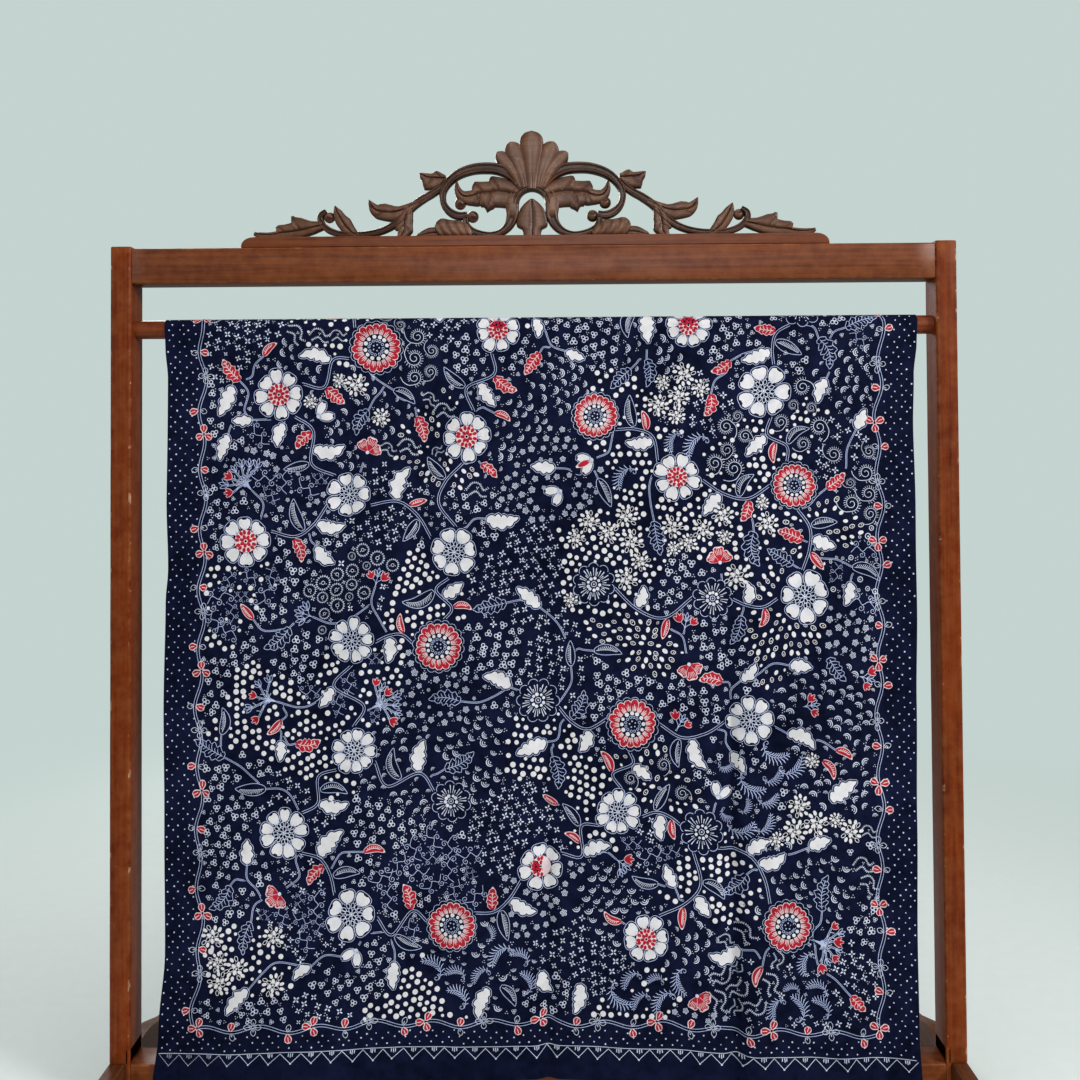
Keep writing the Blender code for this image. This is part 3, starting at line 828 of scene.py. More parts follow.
def blot(centre: Sequence, radius: float, sides: int = 9, stretch: float = 1.0, turn: float = 0.0) -> tuple:
    """A filled round or oval.

    Args:
        centre: its middle.
        radius: its radius.
        sides: how many corners it has.
        stretch: how much longer than wide it is.
        turn: the direction of its long axis.

    Returns:
        Its points, from the middle to the rim, and its triangles.
    """
    rim = round_path((0, 0), radius, sides=sides) * (stretch, 1.0)
    k = np.arange(sides)
    points = np.vstack([[(0.0, 0.0)], rim]) @ spin(turn) + np.asarray(centre, float)
    return points, np.stack([np.zeros(sides, int), 1 + k, 1 + (k + 1) % sides], 1)


@dataclass
class Ground:
    """The flat cloth in small cells, each marked once something is drawn on it."""

    wide: float = 1050.0
    tall: float = 2100.0
    cell: float = 2.0
    taken: np.ndarray = field(init=False)

    def __post_init__(self) -> None:
        """Starts with nothing drawn."""
        self.taken = np.zeros((int(self.tall / self.cell) + 1, int(self.wide / self.cell) + 1), bool)

    def _cells(self, points: np.ndarray, reach: float) -> tuple[np.ndarray, np.ndarray]:
        """Finds the cells within a reach of some points.

        Args:
            points: the points.
            reach: the distance in millimetres.

        Returns:
            The rows and the columns of the cells.
        """
        k = math.ceil(reach / self.cell)
        offsets = np.mgrid[-k:k + 1, -k:k + 1].reshape(2, -1)
        offsets = offsets[:, (offsets**2).sum(axis=0) <= (reach / self.cell) ** 2 + 0.3]
        base = np.round(np.asarray(points).reshape(-1, 2)[:, ::-1] / self.cell).astype(int)
        rows, columns = (base[:, :, None] + offsets[None]).transpose(1, 0, 2).reshape(2, -1)
        inside = (rows >= 0) & (rows < self.taken.shape[0]) & (columns >= 0) & (columns < self.taken.shape[1])
        return rows[inside], columns[inside]

    def claim(self, points: np.ndarray, reach: float) -> None:
        """Marks everything within a reach of some points."""
        self.taken[self._cells(points, reach)] = True

    def claim_round(self, at: np.ndarray, radius: float, ring: float, reach: float, sides: int) -> None:
        """Marks a flower's round place: a ring at a share of its radius, widened by a reach, and its middle."""
        self.claim(round_path(at, radius * ring, sides=sides), radius * reach)
        self.claim(at, radius * 0.5)

    def is_free(self, points: np.ndarray, reach: float) -> bool:
        """Whether nothing is drawn within a reach of any of the points."""
        return not self.taken[self._cells(points, reach)].any()

    def clearance(self, most: float = 16.0) -> np.ndarray:
        """Measures how far each cell lies from the nearest drawn one.

        Args:
            most: the distance to stop at.

        Returns:
            Millimetres for each cell.
        """
        grown = self.taken.copy()
        distance = np.where(grown, 0.0, most)
        straight = ((1, 0), (-1, 0), (0, 1), (0, -1))
        slanted = ((1, 1), (-1, -1), (1, -1), (-1, 1))
        rows, columns = grown.shape
        for k in range(1, int(most / self.cell)):
            padded = np.pad(grown, 1)
            wider = grown.copy()
            for down, across in straight + (slanted if k % 2 == 0 else ()):
                wider |= padded[1 - down:1 - down + rows, 1 - across:1 - across + columns]
            distance[wider & ~grown] = k * self.cell
            grown = wider
        return distance

    def look_up(self, values: np.ndarray, points: np.ndarray) -> np.ndarray:
        """Reads a grid of values, one for each cell, at some points."""
        cells = np.round(points[:, ::-1] / self.cell).astype(int)
        return values[tuple(np.clip(cells, 0, np.array(self.taken.shape) - 1).T)]


@dataclass
class Drawing:
    """All that is drawn on the flat cloth, by ink, and the chance that makes each stroke a little uneven."""

    ground: Ground
    rng: np.random.Generator
    parts: dict = field(default_factory=lambda: {ink: [] for ink in Ink})

    def add(self, shape: tuple, ink: Ink, lift: Lift) -> None:
        """Adds a shape, given as points and triangles."""
        self.parts[ink].append((shape[0], shape[1], np.full(len(shape[0]), lift.value)))

    def line(self, path: np.ndarray, width: float | Sequence, ink: Ink, lift: Lift = Lift.FILL,
             closed: bool = False) -> None:
        """Draws a line along a path."""
        self.add(band(np.asarray(path, float), width, closed), ink, lift)

    def broken_line(self, path: np.ndarray, width: float, ink: Ink, reach: float) -> None:
        """Draws a line only where nothing is drawn yet.

        Args:
            path: its points.
            width: its width.
            ink: what it is drawn in.
            reach: how far from other shapes it stops.
        """
        free = [self.ground.is_free(point, reach) for point in path] + [False]
        start = None
        for k, is_open in enumerate(free):
            if is_open:
                start = k if start is None else start
            elif start is not None:
                if k - start > 1:
                    self.line(path[start:k], width, ink)
                start = None

    def dot(self, centre: Sequence, radius: float, ink: Ink, lift: Lift = Lift.FILL, sides: int = 9) -> None:
        """Draws a filled round."""
        self.add(blot(centre, radius, sides), ink, lift)

    def body(self, spine: np.ndarray, left: np.ndarray, right: np.ndarray, ink: Ink, lift: Lift = Lift.FILL,
             strands: int = 4, notch: float = 0.0) -> np.ndarray:
        """Draws a filled shape round a spine.

        Args:
            spine: the points along its middle.
            left: its width to the left at each point.
            right: its width to the right at each point.
            ink: what it is drawn in.
            lift: its layer.
            strands: how many strips it is built of.
            notch: how far the middle of its far end is drawn in.

        Returns:
            The outline, from the base along the left side and back along the right.
        """
        aside = sideways(spine)
        share = np.linspace(0.0, 1.0, strands + 1)[None, :, None]
        low = (spine - aside * right[:, None])[:, None, :]
        high = (spine + aside * left[:, None])[:, None, :]
        grid = low * (1 - share) + high * share
        if notch:
            ahead = spine[-1] - spine[-2]
            grid[-1, 1:-1] -= ahead / np.linalg.norm(ahead) * notch
        self.add((grid.reshape(-1, 2), quads(len(spine), strands)), ink, lift)
        return np.vstack([grid[:, -1], grid[::-1, 0]])

    def outline(self, spine: np.ndarray, left: np.ndarray, right: np.ndarray, width: float, ink: Ink) -> None:
        """Draws only the closed outline of a shape round a spine.

        Args:
            spine: the points along its middle.
            left: its width to the left at each point.
            right: its width to the right at each point.
            width: the line's width.
            ink: what it is drawn in.
        """
        aside = sideways(spine)
        edge = np.vstack([spine + aside * left[:, None], (spine - aside * right[:, None])[::-1]])
        self.line(edge, width, ink, Lift.FILL, True)

    def stamps(self, mark: tuple, centres: np.ndarray, turns: np.ndarray, sizes: np.ndarray,
               ink: Ink) -> None:
        """Draws a mark many times.

        Args:
            mark: its points and triangles.
            centres: where each copy goes.
            turns: the angle of each copy.
            sizes: the size of each copy.
            ink: what they are drawn in.
        """
        if not len(centres):
            return
        points, faces = mark
        turning = np.stack([spin(turn) for turn in turns]) * sizes[:, None, None]
        placed = np.einsum("pk,nkj->npj", points, turning) + centres[:, None, :]
        first = (np.arange(len(centres)) * len(points))[:, None, None]
        self.add((placed.reshape(-1, 2), (faces[None] + first).reshape(-1, 3)), ink, Lift.FILL)

    def around(self, count: int, start: float, jitter: float = 0.0) -> Iterator[float]:
        """Directions evenly spaced round a whole turn, each a little off its place."""
        for k in range(count):
            yield start + TURN * k / count + (self.rng.uniform(-jitter, jitter) if jitter else 0.0)


# Flowers, leaves and buds

class Motif(ABC):
    """A flower, leaf or bud that is drawn on the cloth and claims its own place."""

    @abstractmethod
    def draw(self, sheet: Drawing, at: np.ndarray, angle: float) -> None:
        """Draws the motif and claims its place.

        Args:
            sheet: the drawing.
            at: a round flower's middle, or the end of the stalk that carries the motif.
            angle: the direction of a round flower's first petal, or the one that the motif points in.
        """


class Heart(Enum):
    """How the middle of a white flower is filled."""

    RED_STIPPLE = 1
    BLUE_NET = 2


PETAL_SHARE = np.array([0.0, 0.14, 0.32, 0.52, 0.72, 0.88, 1.0])
PETAL_HALF = np.array([0.075, 0.160, 0.222, 0.258, 0.266, 0.236, 0.125])


@dataclass(frozen=True)
class WhiteFlower(Motif):
    """A flower with broad white petals, notched at the tip, round a stippled or netted middle."""

    radius: float
    heart: Heart
    petals: int = 8
    heart_share: float = 0.47

    def draw(self, sheet: Drawing, at: np.ndarray, angle: float) -> None:
        """Draws the flower, as Motif.draw says."""
        r, near, rng = self.radius, self.radius * self.heart_share, sheet.rng
        for way in sheet.around(self.petals, angle, 0.06):
            far = r * rng.uniform(0.90, 1.06)
            spine = at + np.outer(near + (far - near) * PETAL_SHARE, aim(way))
            left, right = (PETAL_HALF * r * 8.0 / self.petals * rng.uniform(0.86, 1.06) for _ in range(2))
            rim = sheet.body(spine, left, right, Ink.CREAM, notch=rng.uniform(0.02, 0.07) * r)[1:-1]
            away = rim - (at + aim(way) * (near + far) / 2)
            rim = rim + away / np.linalg.norm(away, axis=1, keepdims=True) * 2.0
            sheet.line(smooth(rim, 2.5), 0.7, Ink.BLUE, Lift.UNDER)
            for lean in (-0.10, 0.10):
                crease = at + np.outer((near * 1.02, near * 1.2, near * 1.34), aim(way + lean))
                sheet.line(crease, (0.8, 0.6, 0.3), Ink.BLUE, Lift.OVER)
        self._middle(sheet, at, angle)
        sheet.ground.claim_round(at, r, 0.56, 0.54, 16)

    def _middle(self, sheet: Drawing, at: np.ndarray, angle: float) -> None:
        """Draws the middle: red drops on pale ground, or a net of open loops, with a fringe of strokes.

        Args:
            sheet: the drawing.
            at: the flower's middle.
            angle: the direction of the first drop.
        """
        r = self.radius * self.heart_share
        red = self.heart is Heart.RED_STIPPLE
        if red:
            sheet.dot(at, r * 0.98, Ink.PINK, Lift.FILL, 22)
        for count, reach in ((7, 0.36), (13, 0.77)):
            for way in sheet.around(count, angle, 0.08):
                loop = blot(at + aim(way) * reach * r, r * 0.155, 8, 1.4, way)
                if red:
                    sheet.add(loop, Ink.RED, Lift.OVER)
                else:
                    sheet.line(loop[0][1:], 0.9, Ink.FINE, Lift.OVER, True)
        for k, way in enumerate(sheet.around(26, angle, 0.07)):
            path = at + np.outer((0.95 * r, 1.06 * r, sheet.rng.uniform(1.10, 1.30) * r), aim(way))
            sheet.line(path, (0.9, 0.8, 0.5), Ink.RED if red and k % 2 else Ink.FINE, Lift.OVER)
        sheet.dot(at, r * 0.11, Ink.NAVY if red else Ink.FINE, Lift.OVER, 8)


@dataclass(frozen=True)
class RedRosette(Motif):
    """A round flower with a rim of many narrow red petals, each with a white edge."""

    radius: float
    petals: int = 19

    def draw(self, sheet: Drawing, at: np.ndarray, angle: float) -> None:
        """Draws the rosette, as Motif.draw says."""
        r, rng = self.radius, sheet.rng
        half = r * 0.142 * np.array([0.62, 0.88, 1.02, 1.06, 0.9, 0.4]) * 19 / self.petals
        for k, way in enumerate(sheet.around(self.petals, angle)):
            spine = ray(at, way, 0.58 * r, r * rng.uniform(0.94, 1.05), 6)
            low, high = (Lift.UNDER, Lift.FILL) if k % 2 else (Lift.FILL, Lift.OVER)
            sheet.body(spine + aim(way) * 0.7, half + 0.75, half + 0.75, Ink.PINK, low, 2)
            sheet.body(spine, half, half, Ink.RED, high, 2)
            for lean, reach in ((-0.085, 0.78), (0.0, 0.85), (0.085, 0.78)):
                sheet.line(ray(at, way + lean, 0.56 * r, reach * r), (1.3, 1.15, 0.6), Ink.PINK, Lift.TOP)
        sheet.dot(at, 0.58 * r, Ink.NAVY, Lift.TOP, 26)
        for way in sheet.around(12, angle, 0.05):
            sheet.dot(at + aim(way) * r * 0.465, r * rng.uniform(0.072, 0.094), Ink.CREAM, Lift.CROWN)
            ring = round_path(at + aim(way + 0.26) * r * 0.30, r * 0.052, sides=7)
            sheet.line(ring, 0.7, Ink.BLUE, Lift.CROWN, True)
        for way in sheet.around(5, angle):
            sheet.dot(at + aim(way) * r * 0.13, 1.0, Ink.FINE, Lift.CROWN, 7)
        for way in sheet.around(self.petals, angle):
            scallop = round_path(at + aim(way) * r * 0.96, r * 0.19, way - 1.1, 2.2, 4)
            sheet.line(scallop, 0.6, Ink.BLUE, Lift.UNDER)
        sheet.ground.claim_round(at, r, 0.57, 0.6, 14)


@dataclass(frozen=True)
class FineAster(Motif):
    """A flower of fine white strokes round a ring of dots, inside a scalloped line."""

    radius: float
    strokes: int = 30
    dense: bool = False

    def draw(self, sheet: Drawing, at: np.ndarray, angle: float) -> None:
        """Draws the aster, as Motif.draw says."""
        r, rng = self.radius, sheet.rng
        for k, way in enumerate(sheet.around(self.strokes, angle, 0.05)):
            far = r * (0.92 if k % 3 else 0.70) * rng.uniform(0.92, 1.06)
            sheet.line(ray(at, way, 0.48 * r, far), (0.5, 0.9, 1.5), Ink.FINE)
        for k, way in enumerate(sheet.around(9, angle, 0.1)):
            spot = at + aim(way) * r * 0.34
            sheet.dot(spot, rng.uniform(1.9, 2.7), Ink.CREAM if k % 2 else Ink.FINE, sides=8)
        if self.dense:
            sheet.dot(at, 0.2 * r, Ink.FINE, sides=12)
        else:
            sheet.line(round_path(at, 0.15 * r, sides=10), 0.9, Ink.FINE, Lift.FILL, True)
            sheet.dot(at, 1.2, Ink.FINE, sides=7)
        for way in sheet.around(10, angle):
            sheet.line(round_path(at + aim(way) * r * 0.93, r * 0.29, way - 1.3, 2.6, 7), 0.75, Ink.BLUE)
        sheet.ground.claim_round(at, r, 0.6, 0.6, 16)


class LeafKind(Enum):
    """The kinds of leaf: the share of its length that half its width takes, its length, and its lobes."""

    RED_PLAIN = (0.18, 27.0, 0)
    RED_LOBED = (0.25, 34.0, 4)
    WHITE_LOBED = (0.225, 40.0, 4)
    WHITE_BROAD = (0.27, 30.0, 3)
    BLUE_HATCHED = (0.20, 40.0, 0)
    BLUE_FEATHER = (0.235, 44.0, 5)


@dataclass(frozen=True)
class Leaf(Motif):
    """One leaf, on a spine that bends to one side."""

    kind: LeafKind
    length: float
    bend: float

    def _spine(self, at: np.ndarray, angle: float) -> np.ndarray:
        """Finds the leaf's middle line.

        Args:
            at: the end of its stalk.
            angle: the direction that it points in.

        Returns:
            The points from its stalk to its tip.
        """
        t = np.linspace(0.0, 1.0, max(9, int(self.length / 2.2)))
        bow = self.bend * self.length * np.sin(math.pi * t) * 0.5
        return at + np.outer(t * self.length, aim(angle)) + np.outer(bow, aim(angle + math.pi / 2))

    def _halves(self, count: int, rng: np.random.Generator) -> list:
        """Finds the leaf's widths, with its own lobes on each side.

        Args:
            count: how many points the spine has.
            rng: gives the leaf's own shape.

        Returns:
            The widths to the left and to the right of the spine.
        """
        breadth, _, lobes = self.kind.value
        t = np.linspace(0.0, 1.0, count)
        plain = np.sin(math.pi * np.clip(t * 0.95 + 0.04, 0, 1) ** 0.78) ** 0.8
        pointed = rng.uniform(0.0, 1.0)
        halves = []
        for side in range(2):
            shape = plain * rng.uniform(0.88, 1.06)
            if lobes:
                phase = (t * (lobes + rng.uniform(-0.4, 0.4)) + 0.42 * side + rng.uniform(0, 0.2)) % 1.0
                saw = np.where(phase < 0.74, phase / 0.74, (1 - phase) / 0.26)
                swell = np.sin(math.pi * phase) ** 0.7
                shape = shape * (0.56 + 0.60 * (saw * pointed + swell * (1 - pointed)))
            halves.append(np.maximum(shape * self.length * breadth, 0.35))
        return halves

    def fits(self, ground: Ground, at: np.ndarray, angle: float) -> bool:
        """Whether the leaf's place is still free."""
        return ground.is_free(self._spine(at, angle)[4::2], self.length * self.kind.value[0] + 1.5)

    def draw(self, sheet: Drawing, at: np.ndarray, angle: float) -> None:
        """Draws the leaf, as Motif.draw says."""
        spine = self._spine(at, angle)
        left, right = self._halves(len(spine), sheet.rng)
        if self.kind in (LeafKind.RED_PLAIN, LeafKind.RED_LOBED):
            rim = np.append(np.full(len(spine) - 1, 0.9), 0.1)
            sheet.body(spine, left + rim, right + rim, Ink.PINK, Lift.UNDER)
            sheet.body(spine[:-1], left[:-1], right[:-1], Ink.RED)
            self._veins(sheet, spine, (left, right), Ink.PINK, Lift.OVER, 1.05)
        elif self.kind in (LeafKind.WHITE_LOBED, LeafKind.WHITE_BROAD):
            edge = sheet.body(spine, left, right, Ink.CREAM)
            sheet.line(edge + sideways(edge, True) * 2.1, 0.65, Ink.BLUE, Lift.UNDER, True)
        else:
            sheet.outline(spine, left, right, 0.75, Ink.BLUE)
            inner = Ink.FINE if self.kind is LeafKind.BLUE_HATCHED else Ink.BLUE
            self._veins(sheet, spine, (left, right), inner, Lift.FILL, 0.85)
        sheet.ground.claim(spine[1:-1:2], self.length * self.kind.value[0] * 0.72 + 1.6)
        sheet.ground.claim(spine[::2], 3.6)

    def _veins(self, sheet: Drawing, spine: np.ndarray, halves: Sequence, ink: Ink, lift: Lift,
               width: float) -> None:
        """Draws the middle vein and the short strokes beside it.

        Args:
            sheet: the drawing.
            spine: the leaf's middle line.
            halves: its widths to the left and to the right.
            ink: what the veins are drawn in.
            lift: their layer.
            width: their greatest width.
        """
        sheet.line(spine[1:len(spine) - 2:2], width * 0.9, ink, lift)
        aside = sideways(spine)
        ahead = aside[:, ::-1] * (1, -1)
        one_side = self.kind in (LeafKind.RED_PLAIN, LeafKind.BLUE_HATCHED)
        for k in range(2, len(spine) - 3, 1 if one_side else 2):
            for side, half in zip((1, -1), halves):
                if half[k] < 2.0 or (side < 0 and one_side):
                    continue
                reach = half[k] * sheet.rng.uniform(0.62, 0.80)
                root = spine[k] + aside[k] * side * 0.6
                tip = spine[k] + aside[k] * side * reach + ahead[k] * reach * 0.5
                path = np.array([root, (root + tip) / 2 + ahead[k] * 0.12 * reach, tip])
                sheet.line(path, np.array([0.7, 1.0, 0.5]) * width, ink, lift)


@dataclass(frozen=True)
class PointedBud(Motif):
    """One bud of three pointed petals, filled with red or only outlined."""

    size: float
    red: bool

    def draw(self, sheet: Drawing, at: np.ndarray, angle: float) -> None:
        """Draws the bud, as Motif.draw says."""
        half = np.array([0.6, 1.7, 2.1, 1.5, 0.3]) * self.size / 11
        for lean in (-0.55, 0.0, 0.55):
            spine = ray(at, angle + lean, 0, self.size * (1.0 if lean else 1.12), 5)
            if self.red:
                sheet.body(spine, half + 0.75, half + 0.75, Ink.PINK, Lift.UNDER, 2)
                sheet.body(spine, half, half, Ink.RED, Lift.FILL, 2)
            else:
                sheet.outline(spine, half, half, 0.7, Ink.BLUE)
        sheet.ground.claim(at + aim(angle) * self.size * 0.5, self.size * 0.62)


@dataclass(frozen=True)
class BudSpray(Motif):
    """A forked twig with pointed buds at its ends, red ones among outlined ones."""

    length: float
    branches: int = 3

    def draw(self, sheet: Drawing, at: np.ndarray, angle: float) -> None:
        """Draws the spray, as Motif.draw says."""
        rng, spread = sheet.rng, 0.62 if self.branches < 5 else 0.95
        for k, lean in enumerate(np.linspace(-spread, spread, self.branches)):
            way = angle + lean
            far = at + aim(way) * self.length * rng.uniform(0.82, 1.05)
            path = smooth([at, at + aim(angle + lean * 0.35) * self.length * 0.45, far])
            sheet.line(path, 0.75, Ink.BLUE)
            if self.branches > 3:
                sheet.line((path + sideways(path) * 1.7)[3:], 0.7, Ink.BLUE)
                for j in range(4, len(path) - 2, 3):
                    sheet.line(ray(path[j], way + (0.8 if j % 2 else -0.8), 0, 6), 0.7, Ink.FINE)
            size = rng.uniform(9.5, 12.5)
            PointedBud(size, k % 2 == 0 and rng.random() < 0.75).draw(sheet, far, way)
            sheet.ground.claim(path[1:], 3.4)


@dataclass(frozen=True)
class TulipBud(Motif):
    """A half-open bud: two white petals, and sometimes a red one between them, in a hatched cup."""

    size: float
    red: bool

    def draw(self, sheet: Drawing, at: np.ndarray, angle: float) -> None:
        """Draws the bud, as Motif.draw says."""
        s = self.size
        for lean in (-0.52, 0.52):
            spine = ray(at, angle + lean, 0.25 * s, sheet.rng.uniform(0.92, 1.05) * s, 6)
            half = s * 0.22 * np.array([0.5, 0.85, 1.0, 1.05, 0.85, 0.45])
            edge = sheet.body(spine, half, half, Ink.CREAM, notch=0.06 * s)
            sheet.line(edge + sideways(edge, True) * 1.7, 0.6, Ink.BLUE, Lift.UNDER, True)
        if self.red:
            spine = ray(at, angle, 0.25 * s, 1.12 * s, 7)
            half = s * 0.15 * np.array([0.4, 0.8, 1.0, 1.0, 0.8, 0.45, 0.1])
            sheet.body(spine, half + 0.9, half + 0.9, Ink.PINK, Lift.OVER, 2)
            sheet.body(spine[:-1], half[:-1], half[:-1], Ink.RED, Lift.TOP, 2)
        for lean in np.linspace(-0.9, 0.9, 7):
            sheet.line(ray(at, angle + lean, 0.02 * s, 0.34 * s), 0.9, Ink.FINE, Lift.CROWN)
        sheet.ground.claim(ray(at, angle, 0.2 * s, 0.9 * s, 5), s * 0.55)


@dataclass(frozen=True)
class RedCarnation(Motif):
    """A red flower from the side: three ragged fans of petals in a small cup."""

    size: float

    def draw(self, sheet: Drawing, at: np.ndarray, angle: float) -> None:
        """Draws the flower, as Motif.draw says."""
        s = self.size
        for lean in (-0.95, 0.95, 0.0):
            way, reach = angle + lean, s * (0.92 if lean else 1.05)
            low, high, top = (Lift.UNDER, Lift.FILL, Lift.OVER) if lean else (Lift.OVER, Lift.TOP, Lift.CROWN)
            half = s * np.array([0.06, 0.14, 0.22, 0.28, 0.33, 0.30, 0.33, 0.20]) * sheet.rng.uniform(0.92,
                                                                                                      1.08)
            spine = ray(at, way, 0.12 * reach, reach, 8)
            sheet.body(spine + aim(way) * 0.8, half + 1.0, half + 1.0, Ink.PINK, low, 5)
            sheet.body(spine, half, half, Ink.RED, high, 5, notch=0.08 * s)
            for spread in np.linspace(-0.30, 0.30, 5):
                vein = ray(at, way + spread, 0.50 * reach, 0.88 * reach)
                sheet.line(vein, (0.5, 0.75, 0.6), Ink.PINK, top)
        sheet.dot(at, s * 0.13, Ink.FINE, Lift.CROWN)
        sheet.ground.claim(at + aim(angle) * s * 0.3, s * 0.85)
        sheet.ground.claim(at + aim(angle) * s * 0.7, s * 0.55)


# The border

@dataclass(frozen=True)
class Border:
    """The plain hem, the row of triangles, the dotted band and the vine that frame the field."""

    wide: float = 1050.0
    tall: float = 2100.0
    side_inset: float = 50.0
    hem_inset: float = 77.0
    repeat: float = 160.0
    wave: float = 4.2
    line_gap: float = 1.75
    tooth_base: float = 30.0
    tooth_width: float = 28.0
    tooth_height: float = 14.5
    dot_pitch: float = 15.0
    petal: float = 14.0

    def in_field(self, spots: np.ndarray, side_margin: float = 0.0, hem_margin: float = 0.0) -> np.ndarray:
        """Whether each point lies in the field that the vine frames, or within a margin round it."""
        inset = np.array([self.side_inset - side_margin, self.hem_inset - hem_margin])
        return ((spots > inset) & (spots < (self.wide, self.tall) - inset)).all(axis=1)

    def draw(self, sheet: Drawing) -> None:
        """Draws the whole border and claims its place.

        Args:
            sheet: the drawing.
        """
        for at_far_end in (False, True):
            self._teeth(sheet, at_far_end)
        self._dots(sheet)
        wide, tall, side, hem = self.wide, self.tall, self.side_inset, self.hem_inset
        corners = np.array([(side, hem), (wide - side, hem), (wide - side, tall - hem), (side, tall - hem)])
        edges = np.array([(0.0, 0.0), (wide, 0.0), (wide, tall), (0.0, tall)])
        inward = np.array([(0, 1), (-1, 0), (0, -1), (1, 0)], float)
        for k in range(4):
            self._run(sheet, corners[k], corners[(k + 1) % 4])
            line = edges[k] + (edges[(k + 1) % 4] - edges[k]) * np.linspace(0, 1, 500)[:, None]
            for depth in np.arange(0, (side if k % 2 else hem) + 4, 6.0):
                sheet.ground.claim(line + inward[k] * depth, 5.0)

    def _teeth(self, sheet: Drawing, at_far_end: bool) -> None:
        """Draws the row of triangles along one hem, worn off at its left end, each with three strokes in it.

        Args:
            sheet: the drawing.
            at_far_end: whether it is the back hem.
        """
        count = int((self.wide - 8) / self.tooth_width)
        step, rng, top = (self.wide - 8) / count, sheet.rng, self.tooth_base + self.tooth_height

        def point(x: float, y: float) -> np.ndarray:
            """A point at a distance from this hem."""
            return np.array([x, self.tall - y if at_far_end else y])

        def stroke(start: np.ndarray, end: np.ndarray, width: float) -> None:
            """Draws a straight stroke."""
            sheet.line(start + (end - start) * np.linspace(0, 1, 6)[:, None], width, Ink.FINE)

        for k in range(count):
            x, worn = 4 + k * step, min(1.0, 0.45 + 0.1 * k)
            high = self.tooth_base + self.tooth_height * rng.uniform(0.94, 1.0)
            tip = point(x + step * rng.uniform(0.44, 0.56), self.tooth_base + rng.uniform(-0.9, 0.9))
            stroke(point(x, high), tip, 0.75 * worn)
            stroke(tip, point(x + step, high), 0.75 * worn)
            sheet.dot(tip, 1.3 * worn, Ink.FINE, sides=7)
            for share, deep in ((0.40, 4.4), (0.5, 5.6), (0.60, 4.4)):
                root = x + step * share
                stroke(point(root, top), point(root + rng.uniform(-0.8, 0.8), top - deep), 1.2 * worn)
        xs = np.arange(3, self.wide - 3, 3.0)
        sheet.line([point(x, top + 1.0 + 0.4 * math.sin(x / 23)) for x in xs], 0.75, Ink.FINE)

    def _dots(self, sheet: Drawing) -> None:
        """Sets fine white dots in the band outside the vine."""
        half = self.dot_pitch / 2
        above = self.tooth_base + self.tooth_height + 7
        x, y = np.meshgrid(np.arange(5, self.wide - 4, self.dot_pitch),
                           np.arange(above, self.tall - above, half))
        x = x + (np.round((y - above) / half).astype(int) % 2) * half
        spots = np.stack([x.ravel(), y.ravel()], 1) + sheet.rng.uniform(-1.8, 1.8, (x.size, 2))
        near_edge = (spots[:, 0] < 3) | (spots[:, 0] > self.wide - 3)
        spots = spots[~self.in_field(spots, 6, 8) & ~near_edge]
        sizes = sheet.rng.uniform(0.8, 1.2, len(spots))
        sheet.stamps(blot((0, 0), 1.05, 7), spots, np.zeros(len(spots)), sizes, Ink.FINE)

    def _run(self, sheet: Drawing, start: np.ndarray, end: np.ndarray) -> None:
        """Draws the vine along one side, with its little flowers.

        Args:
            sheet: the drawing.
            start: the corner where it starts.
            end: the corner where it ends.
        """
        length = float(np.linalg.norm(end - start))
        ahead = (end - start) / length
        repeats = max(1, round(length / self.repeat))
        along = np.linspace(0, length, int(length / 2.6))
        sway = self.wave * np.sin(TURN * along / (length / repeats / 2) + 0.4)
        sway = sway + 1.6 * np.sin(along / 31.0 + start[0])
        path = start + np.outer(along, ahead) + np.outer(sway, (-ahead[1], ahead[0]))
        left = sideways(path)
        for offset in (self.line_gap, -self.line_gap):
            sheet.line(path + left * offset, 0.7, Ink.BLUE, Lift.UNDER)
        way = math.atan2(ahead[1], ahead[0])
        plans = (
            (0.04, (((-1.15, 1.15, math.pi), True),)), (0.33, (((1.3,), True), ((-1.3,), False))),
            (0.54, (((-1.5, 1.5, 0.0, math.pi), False),)), (0.83, (((-1.3,), True), ((1.3,), False))),
        )
        for repeat in range(repeats):
            for share, sprigs in plans:
                at = path[int((repeat + share) / repeats * (len(path) - 1))]
                for leans, red in sprigs:
                    self._sprig(sheet, at, way, leans, red)

    def _sprig(self, sheet: Drawing, at: np.ndarray, way: float, leans: Sequence, red: bool) -> None:
        """Draws a few drop-shaped petals round a point of the vine.

        Args:
            sheet: the drawing.
            at: the point.
            way: the direction of the vine.
            leans: the angle of each petal to the vine.
            red: whether the petals are red or only outlined.
        """
        scale = 1.0 if red else 0.85
        half = np.array([0.6, 1.8, 3.2, 4.0, 3.9, 2.9, 0.9]) * scale
        for lean in leans:
            reach = self.petal * sheet.rng.uniform(0.85, 1.08) * scale
            spine = ray(at, way + lean + sheet.rng.uniform(-0.15, 0.15), 1.5, reach, 7)
            if red:
                sheet.body(spine, half + 1.15, half + 1.15, Ink.PINK, Lift.FILL, 3)
                sheet.body(spine[:-1] + (spine[1] - spine[0]) * 0.3, half[:-1], half[:-1], Ink.RED,
                           Lift.OVER, 3)
                sheet.line(spine[2:6], 0.85, Ink.CREAM, Lift.TOP)
            else:
                sheet.outline(spine, half, half, 0.7, Ink.FINE)
                sheet.line(spine[1:4], 0.9, Ink.FINE)
        sheet.dot(at, 1.4, Ink.NAVY, Lift.CROWN, 7)


# Fillings of the ground between the flowers

def ring_part(centre: Sequence, radius: float, width: float, sides: int = 10) -> tuple:
    """A small ring."""
    return band(round_path(centre, radius, 0.3, TURN, sides), width, True)


